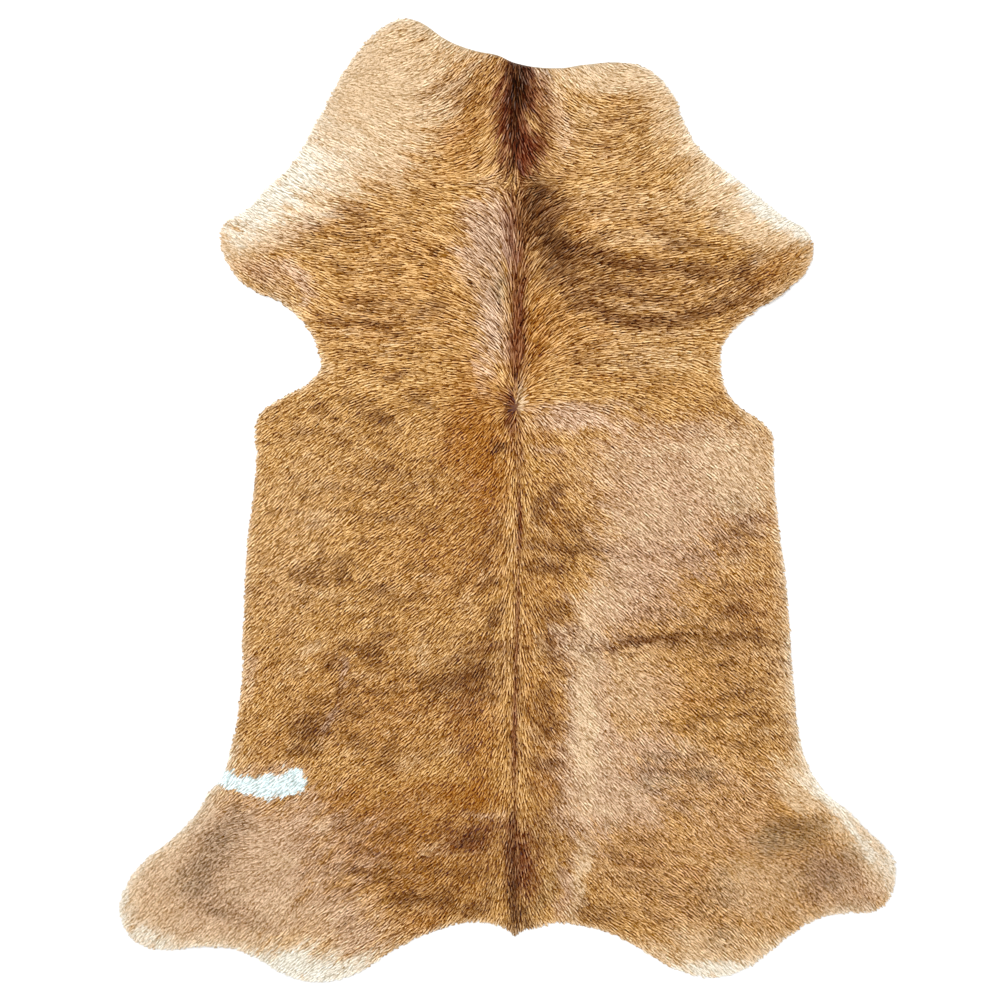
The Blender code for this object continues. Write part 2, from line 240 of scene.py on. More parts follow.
            (-212, -43, 261, 130, 88, 12), (-516, -365, 19, 22, 0, 20), (-516, -533, 41, 29, 30, 25),
            (-125, -130, 130, 130, 0, 30), (-234, -478, 152, 109, 0, 21), (-495, -217, 73, 146, 0, 10)],
        "fawn": [(-358, -378, 52, 9, 88, 72), (-560, -380, 74, 20, 88, 45), (-382, -478, 48, 7, 70, 81),
            (-408, -43, 65, 22, 0, 15)],
        "cream": [(-473, -87, 261, 96, 88, 18), (-168, -174, 30, 17, 20, 20), (-90, -230, 35, 22, 0, 18),
            (-188, -337, 57, 15, 86, 24), (-425, -322, 28, 17, 20, 32), (-458, -365, 28, 17, 0, 24),
            (-210, -576, 35, 22, 40, 24), (-136, -548, 33, 17, 20, 20), (-425, -43, 30, 22, 0, 24),
            (-386, 33, 87, 17, 0, 12)],
        "russet": [(-484, -283, 22, 17, 30, 26), (-386, -348, 29, 15, -50, 26), (-32, -317, 73, 19, 8, 45),
            (-229, -457, 49, 12, 0, 26), (-92, -457, 41, 34, 0, 38), (-92, -533, 29, 29, 0, 38),
            (-364, -359, 19, 54, 0, 15)],
        "brindle": [(-82, -370, 130, 65, 10, 25), (-408, -489, 87, 65, 20, 20), (-436, 146, 19, 22, 50, 42),
            (-353, 128, 44, 17, -38, 35), (-255, 80, 22, 17, 0, 35), (-310, 74, 29, 19, 0, 21),
            (-190, 57, 46, 10, -4, 29), (-242, 150, 22, 15, 0, 29), (-308, 143, 17, 15, 0, 25),
            (-277, 39, 34, 10, 0, 34), (-208, 30, 29, 12, 20, 35), (-162, 22, 19, 15, -30, 34),
            (-264, -35, 83, 12, -4, 35), (-318, -89, 22, 12, -10, 42), (-408, -115, 32, 15, 70, 35),
            (-168, -57, 24, 17, 0, 25), (-32, -65, 39, 22, 55, 32), (-49, -122, 32, 19, 50, 42),
            (-362, -165, 37, 15, -12, 50), (-427, -157, 32, 15, -20, 29), (-273, -196, 34, 17, -20, 63),
            (-236, -217, 29, 10, 0, 59), (-188, -211, 32, 12, 0, 35), (-208, -146, 34, 15, 10, 25),
            (-42, -178, 34, 15, 28, 59), (-23, -252, 44, 19, 58, 63), (-429, -191, 24, 15, 0, 29),
            (-447, -220, 37, 10, 0, 25), (-373, -213, 24, 17, 0, 29), (-277, -254, 22, 7, -20, 34),
            (-255, -298, 22, 12, 0, 50), (-290, -333, 32, 17, 10, 55), (-342, -313, 37, 15, 0, 35),
            (-271, -361, 17, 22, 0, 35), (-82, -383, 78, 29, 18, 59), (-147, -404, 54, 19, 6, 35),
            (-58, -426, 39, 19, -8, 42), (-334, -402, 24, 17, 20, 50), (-275, -411, 46, 15, 0, 42),
            (-364, -424, 24, 17, 0, 42), (-342, -459, 27, 24, 0, 35), (-418, -493, 44, 37, 20, 50),
            (-440, -537, 32, 19, -10, 50), (-332, -533, 27, 22, 0, 42), (-255, -548, 44, 24, 80, 42)],
    },
    "right flank": {
        "rim": [(599, -65, 239, 30, 92, 35), (601, -413, 196, 43, 93, 50), (-560, -217, 283, 35, 88, 10)],
        "bands": [(105, -87, 109, 87, -45, 50), (97, -326, 130, 78, -50, 45), (82, -522, 130, 74, -45, 45),
            (505, -130, 130, 109, 5, 40), (505, -304, 130, 130, 5, 45), (527, -478, 130, 109, 10, 45),
            (332, -304, 152, 109, 5, 30), (310, -130, 152, 109, 10, 25)],
        "amber": [(82, -478, 239, 43, 88, 35), (97, -87, 239, 48, 88, 30), (71, 139, 24, 19, 0, 35),
            (462, -98, 22, 17, 0, 23), (505, -217, 96, 65, 0, 20), (445, -378, 66, 19, 0, 20),
            (408, -435, 58, 24, 0, 35), (45, -326, 239, 15, 90, 30), (549, -261, 63, 34, 0, 20),
            (114, -304, 63, 24, 0, 15)],
        "fawn": [(136, 178, 109, 43, 0, 35), (375, 130, 217, 52, 0, 40), (432, 22, 183, 130, 0, 60),
            (321, -65, 139, 109, 0, 70), (201, 98, 152, 39, 0, 10), (227, -217, 109, 74, 60, 65),
            (288, -217, 130, 57, 0, 40), (179, -483, 265, 61, 90, 90), (201, -587, 130, 100, 0, 50),
            (523, -217, 152, 239, 0, 10), (275, -424, 104, 183, 0, 25), (158, 183, 96, 33, 0, 80),
            (349, 43, 243, 122, 0, 50), (318, -130, 113, 74, 0, 55), (288, -239, 87, 43, 0, 40),
            (147, -304, 48, 35, 0, 40), (171, -435, 65, 39, 90, 60), (168, -511, 130, 39, 90, 85),
            (310, -413, 78, 52, 0, 30), (299, -533, 87, 33, 0, 70), (484, -130, 30, 17, 0, 35)],
        "cream": [(505, 65, 120, 109, 90, 40), (310, -43, 122, 65, 12, 35), (214, -217, 87, 57, 60, 20),
            (166, -467, 250, 39, 90, 50), (227, -652, 96, 57, 0, 35), (266, -402, 74, 74, 0, 22),
            (255, -435, 96, 152, 0, 18), (288, 70, 135, 48, 0, 22), (516, 54, 74, 100, 0, 36),
            (371, 109, 78, 15, 0, 40), (321, 11, 30, 22, 0, 36), (527, 174, 39, 13, -32, 48),
            (288, -65, 33, 17, 0, 32), (205, -217, 70, 52, 60, 24), (171, -489, 122, 28, 90, 48),
            (201, -576, 65, 30, 0, 32), (397, -533, 30, 22, 0, 36), (571, -511, 22, 17, 0, 16),
            (418, -500, 26, 17, 0, 16), (501, -122, 30, 11, 0, 24)],
        "ash": [(288, 211, 29, 15, 0, 22), (210, 200, 24, 12, 0, 17), (449, 128, 19, 17, 0, 20),
            (386, 150, 37, 12, 0, 17), (212, -135, 24, 34, 0, 17), (201, -9, 29, 10, 0, 20),
            (288, -174, 58, 34, 0, 7), (495, -7, 54, 24, 0, 22), (375, -252, 27, 12, 0, 22),
            (175, -317, 49, 39, 0, 17), (73, -322, 19, 34, 0, 22), (340, -559, 54, 15, 0, 36)],
        "russet": [(523, -39, 78, 9, -4, 35), (501, -102, 65, 9, 2, 30), (542, -191, 65, 9, 8, 35),
            (490, -243, 65, 9, 5, 30), (510, -330, 49, 24, -20, 19)],
        "brindle": [(310, -307, 117, 8, 9, 80), (497, -304, 96, 8, 0, 50), (486, 167, 22, 15, 60, 35),
            (116, 22, 22, 19, 0, 55), (97, 7, 39, 22, 60, 50), (64, -22, 41, 15, 88, 50),
            (151, -65, 37, 22, -40, 34), (118, -104, 63, 19, 0, 63), (182, -111, 34, 24, 0, 46),
            (92, -146, 54, 22, 0, 67), (53, -100, 22, 17, 0, 34), (103, -241, 41, 34, 0, 52),
            (516, -59, 32, 17, 0, 46), (497, -189, 46, 12, 0, 17), (423, -267, 58, 15, -8, 21),
            (505, -226, 46, 15, 0, 17), (271, -311, 83, 12, 8, 71), (349, -313, 44, 12, 4, 50),
            (432, -315, 46, 15, -6, 32), (518, -298, 54, 34, 0, 25), (99, -330, 51, 17, 86, 50),
            (84, -417, 39, 27, 60, 52), (473, -357, 34, 15, 20, 29), (571, -376, 54, 19, 32, 29),
            (551, -441, 63, 17, 86, 25), (484, -424, 37, 19, 0, 15), (549, -502, 29, 29, 0, 27),
            (516, -524, 29, 19, 0, 19), (453, -513, 32, 19, 0, 25), (397, -489, 37, 12, 0, 42),
            (340, -487, 34, 12, 0, 29), (603, -533, 24, 19, 0, 21), (82, -493, 49, 29, 80, 50),
            (82, -576, 37, 15, -8, 63), (560, -326, 39, 24, -20, 19)],
    },
    "left hind leg": {
        "rim": [(-734, -826, 196, 130, 40, 80), (-647, -957, 174, 65, 0, 80), (-429, -1000, 174, 74, -5, 90),
            (-636, -630, 109, 65, 60, 70)],
        "amber": [(-447, -735, 58, 22, -55, 35), (-468, -791, 24, 19, 0, 30), (-482, -894, 63, 19, 0, 30),
            (-527, -926, 29, 17, 0, 25), (-425, -915, 24, 15, 0, 25)],
        "fawn": [(-625, -800, 235, 183, 22, 85), (-386, -924, 165, 65, -8, 45), (-777, -880, 78, 65, 60, 40),
            (-571, -809, 257, 143, 18, 80), (-516, -587, 96, 17, 0, 35), (-386, -880, 83, 39, -10, 55),
            (-338, -952, 61, 43, 10, 70), (-669, -935, 130, 39, 0, 30), (-766, -826, 57, 57, 0, 20)],
        "cream": [(-636, -826, 243, 157, 20, 44), (-451, -924, 143, 78, -5, 35),
            (-777, -913, 87, 65, 60, 40), (-821, -880, 74, 20, 84, 48), (-686, -970, 126, 15, 0, 44),
            (-451, -978, 100, 26, -8, 40), (-729, -744, 96, 15, 38, 36), (-490, -785, 37, 20, 0, 28)],
        "ash": [(-586, -685, 44, 29, -20, 25), (-621, -722, 39, 32, 0, 27), (-638, -765, 58, 37, 30, 29),
            (-673, -809, 44, 34, 30, 27), (-690, -844, 44, 29, 0, 34), (-629, -894, 27, 10, -20, 34),
            (-582, -852, 34, 19, 0, 14)],
        "russet": [(-634, -752, 117, 52, 62, 10)],
        "brindle": [(-638, -761, 135, 65, 62, 20), (-612, -887, 83, 28, -22, 26),
            (-534, -926, 74, 22, -12, 16)],
        "chalk": [(-777, -935, 87, 26, -35, 25), (-792, -952, 70, 26, -22, 45),
            (-412, -1017, 143, 43, -5, 68), (-838, -880, 57, 11, 84, 40), (-455, -1017, 104, 28, -10, 75),
            (-534, -1004, 43, 15, -28, 50)],
    },
    "left rump": {
        "bands": [(-234, -783, 239, 152, 0, 40)],
        "amber": [(-234, -728, 261, 130, 0, 30), (-342, -685, 109, 87, 0, 25), (-147, -837, 196, 78, 0, 35),
            (-329, -633, 37, 12, 0, 40), (-342, -761, 49, 19, 0, 35), (-64, -652, 83, 29, 0, 50),
            (-179, -913, 63, 24, 20, 50), (-234, -717, 130, 109, 0, 30), (-125, -630, 109, 30, 0, 40),
            (-386, -652, 49, 19, 0, 25)],
        "fawn": [(-321, -830, 33, 11, -4, 55), (-47, -685, 48, 9, 0, 50)],
        "cream": [(-408, -709, 24, 39, 0, 24), (-168, -761, 28, 17, 0, 28), (-190, -652, 43, 22, 0, 12)],
        "ash": [(-27, -848, 24, 34, 0, 20)],
        "russet": [(-82, -739, 109, 61, 10, 25), (-86, -744, 58, 24, 18, 56), (-38, -709, 54, 17, 10, 49),
            (-147, -709, 34, 19, 0, 26)],
        "brindle": [(-190, -870, 152, 43, 0, 8), (-342, -709, 46, 37, 0, 35), (-277, -807, 78, 24, -4, 42),
            (-329, -848, 32, 12, 20, 35), (-212, -865, 58, 22, 0, 60), (-82, -804, 66, 22, 0, 35),
            (-55, -883, 32, 24, 0, 50), (-147, -863, 54, 22, 0, 42), (-112, -887, 44, 19, 0, 38),
            (-364, -804, 39, 17, 0, 25)],
        "mane": [(-86, -735, 35, 11, 18, 40)],
    },
    "right rump": {
        "rim": [(462, -989, 174, 74, 5, 90), (669, -609, 109, 74, -50, 80)],
        "bands": [(397, -609, 174, 74, 0, 40), (310, -804, 196, 109, -8, 32), (418, -913, 130, 87, -20, 25),
            (103, -761, 109, 87, -45, 30)],
        "amber": [(288, -787, 49, 15, 0, 40), (418, -804, 54, 12, 0, 40), (82, -609, 49, 39, 0, 25)],
        "fawn": [(245, -652, 130, 74, 0, 50), (397, -598, 109, 65, 0, 40), (288, -787, 196, 109, 0, 22),
            (127, -848, 87, 22, 82, 75), (227, -641, 100, 70, 0, 75), (147, -700, 74, 30, 0, 50),
            (418, -913, 130, 74, 0, 17), (516, -870, 57, 65, 0, 15), (571, -620, 43, 39, 0, 30)],
        "cream": [(429, -972, 117, 52, 0, 42), (649, -620, 78, 48, -55, 70), (673, -635, 104, 39, -48, 50),
            (153, -837, 96, 20, 84, 60), (158, -809, 28, 17, 80, 52), (205, -678, 48, 15, 0, 32),
            (608, -620, 61, 17, -62, 56), (473, -1013, 96, 20, 0, 64), (418, -996, 57, 26, 20, 32),
            (375, -952, 52, 26, -20, 32), (321, -967, 35, 26, 30, 24), (495, -804, 43, 22, 0, 16)],
        "ash": [(82, -863, 63, 22, 70, 34), (88, -709, 58, 17, 10, 17), (327, -611, 58, 29, -10, 36),
            (423, -600, 41, 24, 0, 34), (288, -630, 34, 19, 0, 22), (388, -665, 54, 19, 0, 17),
            (227, -711, 24, 12, -10, 28), (466, -830, 34, 24, 40, 22), (488, -865, 24, 29, 0, 22),
            (475, -948, 49, 24, 35, 28), (440, -887, 29, 24, 0, 20)],
        "russet": [(49, -809, 96, 26, 90, 52)],
        "brindle": [(103, -657, 44, 24, 70, 28), (53, -630, 39, 12, -65, 42), (86, -761, 51, 22, -50, 32),
            (162, -887, 49, 17, 86, 29), (205, -896, 54, 29, -10, 50), (288, -817, 58, 17, -8, 30),
            (255, -833, 29, 12, 0, 30), (342, -850, 58, 17, 0, 23), (314, -902, 34, 10, -28, 35)],
        "chalk": [(453, -1020, 113, 22, 0, 65), (684, -620, 57, 26, -55, 60), (703, -657, 104, 22, -45, 50)],
    },
    "right hind leg": {
        "rim": [(788, -761, 152, 87, -50, 90), (723, -880, 130, 52, 5, 50)],
        "fawn": [(745, -826, 109, 87, 0, 60), (495, -696, 109, 87, 0, 35), (662, -783, 109, 74, 0, 20),
            (810, -837, 39, 43, 0, 50), (636, -826, 152, 74, 0, 17), (603, -902, 74, 30, 20, 15)],
        "cream": [(545, -837, 109, 74, 10, 40), (784, -765, 117, 39, -55, 70), (810, -796, 74, 39, -60, 40),
            (727, -709, 30, 17, 0, 48), (758, -713, 57, 17, -40, 40), (832, -844, 20, 48, 0, 32),
            (669, -665, 61, 13, -14, 40)],
        "ash": [(684, -796, 96, 65, 0, 6), (625, -726, 87, 39, 8, 45), (558, -735, 39, 34, 0, 28),
            (684, -809, 83, 49, 10, 25), (745, -765, 29, 27, 0, 25), (727, -830, 39, 24, 0, 22),
            (762, -880, 49, 19, 0, 20)],
        "russet": [(692, -809, 39, 24, 60, 22)],
        "brindle": [(675, -800, 100, 65, 0, 7), (625, -704, 63, 19, 0, 29), (671, -861, 34, 19, 0, 35)],
        "chalk": [(825, -809, 61, 17, -75, 40), (779, -757, 65, 17, -58, 60)],
    },
}

# The white mark over the left hock, as a brush stroke: x, y, half width
WHITE_MARK = [(-0.640, -0.596, 0.012), (-0.590, -0.608, 0.016), (-0.545, -0.626, 0.023),
              (-0.490, -0.620, 0.025), (-0.457, -0.610, 0.022), (-0.450, -0.597, 0.013)]

# How the marks are drawn. A mark is full up to FULL_REACH of its half sizes and gone at CHART_REACH.
FULL_REACH, CHART_REACH = 0.30, 1.40
BROKEN_EDGE = 0.30, 0.20            # how far broad and fine streaks of hair move the edge of a mark
SPINE_HOLD = -0.02, 0.09            # the chart keeps still at the spine and drifts freely past this far
BANDS_DARKEN, BANDS_DARKEST, BANDS_CLEAR = 1.25, 0.90, 0.60     # what bands do to brindle and to cream
BAND_EDGE, GAP_EDGE = 0.75, 0.80    # height of wave at which a band, and the gap between two, is full
WHITE_EDGE = -0.10, 0.15, 0.30      # the white mark's soft edge, and how far fine streaks move it

# Smooth noise in layers: how far each is squeezed along x (under 1 draws it out), its cell, seed and share
NoiseRow = namedtuple("NoiseRow", "squeeze cell seed share")
LIE_WANDER = [NoiseRow(1, 0.070, 3, 0.7), NoiseRow(1, 0.024, 4, 0.5)]
CHART_DRIFT = [[NoiseRow(1, 0.045, 5, 0.010), NoiseRow(1, 0.016, 6, 0.006)],
               [NoiseRow(1, 0.045, 7, 0.007), NoiseRow(1, 0.016, 8, 0.005)]]
BAND_WAVES = [NoiseRow(0.25, 0.012, 31, 0.7), NoiseRow(0.325, 0.006, 32, 0.5)]

# Streaks of hair, drawn out along its lie: width, length, seed
FINE_STREAK, BROAD_STREAK = (0.0045, 0.030, 21), (0.011, 0.070, 22)
STREAK_STEPS, STREAK_GAIN = 7, 2.6
FINE_SHADE, FINE_SHADE_STREAK = 0.30, (0.0045, 0.030, 41)
BROAD_SHADE, BROAD_SHADE_STREAK = 0.15, (0.010, 0.050, 42)

# How much of a pale tone shows at the trimmed edge: within a rim, and everywhere, each with how far in
EdgeRow = namedtuple("EdgeRow", "tone rim rim_reach edge edge_reach")
PALE_EDGES = [EdgeRow("cream", 0.85, 0.040, 0.60, 0.0065), EdgeRow("chalk", 0.70, 0.014, 0.35, 0.0025)]

# How far streaks break up each tone where it is half strong, and the shares of fine and broad ones
BREAK_UP = {"brindle": 0.45, "mane": 0.30, "russet": 0.30, "ash": 0.30, "amber": 0.3, "fawn": 0.20,
            "cream": 0.25}
BREAK_UP_FINE, BREAK_UP_BROAD = 0.6, 0.5
BREAK_UP_END = 1.05                 # strength of tone, just past full, that no streak would break up

# The layers of hair, from the leather up: how close its locks stand, share of the coat's length and of a
# lock's width, rise of the lock, lean in degrees, darker or lighter, and its seed. The bottom layer's dark
# tint is painted shade in the gaps under the locks above, and the guard layer's dark tint is partly dark
# guard hair and partly painted shadow lines between clumps.
LayerRow = namedtuple("LayerRow", "piece spacing length width rise lean tint seed")
LAYERS = [
    LayerRow("hair_under", 0.0076, 0.70, 1.80, 0.0010, 1.0, -0.60, 11),
    LayerRow("hair_lower", 0.00608, 0.90, 1.20, 0.0015, 2.2, -0.20, 23),
    LayerRow("hair_middle", 0.00608, 0.95, 1.05, 0.0016, 3.2, 0.00, 37),
    LayerRow("hair_upper", 0.00608, 1.00, 1.00, 0.0017, 4.2, 0.10, 53),
    LayerRow("hair_guard", 0.00608, 0.95, 0.62, 0.0012, 5.2, -1.40, 71),
]

# How the locks of a layer differ from each other. The pairs are limits of what is drawn by lot.
ROLLS, EITHER_WAY = (-0.25, 0.25), (-1.0, 1.0)
LEANS, LENGTHS, WIDTHS, RISES = (-1.6, 0.1), (0.75, 1.25), (0.85, 1.15), (0.7, 1.3)
LOCK_SHADE = 0.25                   # spread of light and dark, for hair of usual length
SHADE_LIMITS = -3.0, 1.8
WILD_HAIR = 0.4, 1.5                # shortest and longest hair that is shaded so, in usual lengths
CRISP_HAIR = ((0.80, 0.98, 1.45), (0.32, 0.96, 1.06))     # how strongly hair of each length is lined
PALE_HAIR_SMOOTH = 0.35             # by how much less cream hair is lined
TONE_READ = 0.2, 0.8                # how far along a lock its tone is read off the chart
SINGLE_LOCKS = 0.25                 # share of a tone that each lock takes wholly or not at all
SINGLE_LEVEL, SINGLE_EDGE = (0.15, 0.85), 0.25    # strength of tone at which a lock takes it

# Light on the hair and the leather, in even steps as the eye sees them. Red is the colour's own, 0 to 1.
EYE = 2.2                           # even steps of light to the eye are this power of the light
DARK_TAKES = 0.90, 0.35             # a dark tone takes this much of the light: red times, plus
PALE_TAKES = -2.00, 2.36            # and a pale tone no more than this
MOST_LIGHT = 0.30
DARK_GLOWS = -4.0, 2.2              # by how much more light warms a dark tone: red times, plus
SHADE_WARMTH = 2.8                  # how much shade warms, where light on a pale tone counts as 1
WARMTH = 0.0, 0.03, 0.10            # red, green and blue that warmth takes away
PALEST, DARKEST = (0.96, 0.96, 0.96), (0.05, 0.02, 0.0)

# How much light each part of the hair's look adds and takes away
STRAND_PLACE = 0.40, 0.30, 61.0     # across a lock, along it, and from lock to lock
STRAND_LIGHT, FURROW_LIGHT, GRAIN_LIGHT, LOCK_LIGHT = 0.70, 0.98, 0.56, 0.18
TIP_LIGHT = 0.10, 0.02              # from root to tip, and halfway
SMOOTH_FROM = 1.15                  # grain shows on hair that is lined less than this

MERGE = 0.00001                     # points closer than this are one
NOTHING = 1e-9                      # nothing is divided by less than this
CLEAR_OF_EDGE = 0.45                # points of a sheet keep this share of their spacing from its edge
FACES_DOWN, FACES_UP = -0.5, 0.6    # how far down the flesh side faces, and how far up the hair side
SHARP_TURN = 50                     # degrees between two faces of leather that meet in a sharp edge
NARROWING = 0.25                    # a lock's width goes by this power of its length
FARTHEST = 3                        # how far off the trimmed edge is looked for, in hair lengths
SEEDS_APART = 100, 1000             # steps between the seeds of the coat, for growth and for colour
LOCK_POINTS = 5                     # a lock's root, two sides, ridge and tip

# The studio: floor, lamps and camera
FLOOR_SIZE, FLOOR_DROP, FLOOR_COLOUR = 14, 0.0006, (0.93, 0.93, 0.93, 1)
LAMP_SIZE = 3.0
LampRow = namedtuple("LampRow", "name place watts")
LAMPS = [LampRow("key light", (-1.6, 1.2, 4.2), 147.0), LampRow("fill light", (1.8, -1.0, 4.2), 73.0)]
SKY_LIGHT = 0.54
LENS, LENS_BACK = 85, 36            # focal length and sensor width in millimetres
CAMERA_PLACE = (-0.0163, 0.0, 5.133)


# ---------------------------------------------------------------- what a user would change

def metres(name, words, default):
    return FloatProperty(name=name, description=words, default=default, unit="LENGTH")


def degrees(name, words, default):
    return FloatProperty(name=name, description=words, default=math.radians(default), unit="ROTATION")


def tone(name, words, colour):
    return FloatVectorProperty(name=name, description=words, default=colour, subtype="COLOR", size=3,
                               min=0.0, max=1.0)


class CowhideSizes(bpy.types.PropertyGroup):
    """Sizes of the leather and of the hair."""
    leather_depth: metres("Leather depth", "Thickness of the tanned skin", 0.0022)
    edge_inset: metres("Edge inset", "How far the hair stands out past the leather", 0.0015)
    edge_overhang: metres("Edge overhang", "How much further that is where the hair lies outward", 0.0035)
    skin_lattice: metres("Skin lattice", "Distance between the points of the leather", 0.020)
    hair_length: metres("Hair length", "Length of the coat on the flanks", 0.0145)
    lock_width: metres("Lock width", "Width of one lock of hair", 0.0050)
    tip_overhang: metres("Tip overhang", "How far a tip may pass the trimmed edge", 0.0025)
    waviness: degrees("Waviness", "How far the lie of the hair wanders", 9)
    unruliness: degrees("Unruliness", "How far single locks turn from their neighbours", 6)
    seed: IntProperty(name="Seed", description="Start of every random draw", default=5)


class CowhideColours(bpy.types.PropertyGroup):
    """Colours of the coat and the leather, linear."""
    honey: tone("Honey", "Golden ground of the coat", (0.451, 0.238, 0.070))
    amber: tone("Amber", "Deeper gold", (0.283, 0.091, 0.000))
    # Fawn also makes the painted sheen band left of the spine.
    fawn: tone("Fawn", "Pinkish beige of the right flank and the legs", (0.503, 0.319, 0.209))
    cream: tone("Cream", "Pale hair of the neck and the edges", (0.687, 0.497, 0.314))
    # Ash also makes the painted shadow at the right foreleg's lower edge and part of the painted sheen band.
    ash: tone("Ash", "Grey brown", (0.188, 0.138, 0.084))
    russet: tone("Russet", "Red brown beside the spine", (0.109, 0.014, 0.003))
    brindle: tone("Brindle", "Dark brown streaks", (0.125, 0.040, 0.007))
    mane: tone("Mane", "Nearly black brown of the neck's ridge", (0.027, 0.004, 0.000))
    chalk: tone("Chalk", "Nearly white hair at the edges", (0.807, 0.761, 0.665))
    snow: tone("Snow", "The white mark over the hock", (0.730, 0.871, 0.905))
    suede: tone("Suede", "Flesh side of the leather", (0.560, 0.450, 0.340))


# ---------------------------------------------------------------- the chart of the coat

def drift(x, y, cell, seed):
    """Smooth noise from -1 to 1 whose soft spots are about one cell wide."""
    across, along = x / cell, y / cell
    column, row = np.floor(across).astype(np.int64), np.floor(along).astype(np.int64)
    u, v = across - column, along - row
    u, v = u * u * (3 - 2 * u), v * v * (3 - 2 * v)

    def corner(right, up):
        n = (column + right) * 374761393 + (row + up) * 668265263 + seed * 144269504
        n = (n ^ (n >> 13)) * 1274126177
        return ((n ^ (n >> 16)) & 0xFFFF) / 32767.5 - 1

    low = corner(0, 0) * (1 - u) + corner(1, 0) * u
    high = corner(0, 1) * (1 - u) + corner(1, 1) * u
    return low * (1 - v) + high * v


def ease(low, high, value):
    """0 below low, 1 above high and a smooth step between them."""
    t = np.clip((value - low) / (high - low), 0, 1)
    return t * t * (3 - 2 * t)


def layered(x, y, rows):
    """Several layers of smooth noise together."""
    return sum(row.share * drift(x * row.squeeze, y, row.cell, row.seed) for row in rows)


def spine_at(y):
    """The spine's x at each y."""
    return np.interp(y, (SPINE_END[1], SPINE_TOP[1]), (SPINE_END[0], SPINE_TOP[0]))


def lie_of_hair(x, y, wander=0.0):
    """The way the hair lies at each place, as two rows of unit directions."""
    out = x - spine_at(y)
    side, distance = np.where(out < 0, -1.0, 1.0), np.abs(out)
    rows = sorted(COAT_LIE)
    levels = np.array([row.y for row in rows])
    at = np.array([np.interp(distance, LIE_STOPS, row.angles) for row in rows])
    upper = np.clip(np.searchsorted(levels, y), 1, len(rows) - 1)
    share = ease(levels[upper - 1], levels[upper], y)
    place = np.arange(len(y))
    angle = at[upper - 1, place] * (1 - share) + at[upper, place] * share
    hip, level, reach, change = HIP_SWIRL
    angle = angle + change * np.exp(-((distance - hip) ** 2 + (y - level) ** 2) / reach ** 2)
    angle = np.radians(angle) + wander * layered(x, y, LIE_WANDER)
    return side * np.cos(angle), -np.sin(angle)


def length_of_hair(x, y, usual):
    """The coat's length at each place."""
    length = np.full(len(x), usual)
    for row in COAT_LENGTH:
        away = ((x - row.x) / row.across) ** 2 + ((y - row.y) / row.along) ** 2
        length += row.change * np.exp(-away ** 2)
    return length


def streak(x, y, lie, width, length, seed):
    """Noise from about -1 to 1, drawn out along the lie of the hair."""
    steps = np.linspace(-length / 2, length / 2, STREAK_STEPS)
    total = sum(drift(x + lie[0] * step, y + lie[1] * step, width, seed) for step in steps)
    return np.clip(total / STREAK_GAIN, -1, 1)


def stroke_cover(x, y, stroke):
    """Signed share of the half width by which each place lies inside a brush stroke."""
    cover = np.full(len(x), -np.inf)
    for (ax, ay, aw), (bx, by, bw) in zip(stroke, stroke[1:]):
        span = (bx - ax) ** 2 + (by - ay) ** 2
        t = np.clip(((x - ax) * (bx - ax) + (y - ay) * (by - ay)) / span, 0, 1)
        width = aw + (bw - aw) * t
        away = np.hypot(x - ax - (bx - ax) * t, y - ay - (by - ay) * t)
        cover = np.maximum(cover, 1 - away / width)
    return cover


def rim_of(edge):
    """A search tree of places along the trimmed edge, four to each of its straight segments."""
    following = np.roll(edge, -1, axis=0)
    places = [edge * (1 - share) + following * share for share in (0, 0.25, 0.5, 0.75)]
    rim = KDTree(len(edge) * len(places))
    for number, place in enumerate(np.concatenate(places)):
        rim.insert((*place, 0), number)
    rim.balance()
    return rim


def from_rim(rim, x, y):
    """Each place's distance from the trimmed edge."""
    return np.array([rim.find((*place, 0))[2] for place in zip(x, y)])


def marks_of_coat():
    """Every mark of the chart, in metres, radians and shares of one."""
    for tones in COAT_MARKS.values():
        for name, rows in tones.items():
            for *sizes, turn, strength in rows:
                yield Mark(name, *(size / 1000 for size in sizes), math.radians(turn), strength / 100)


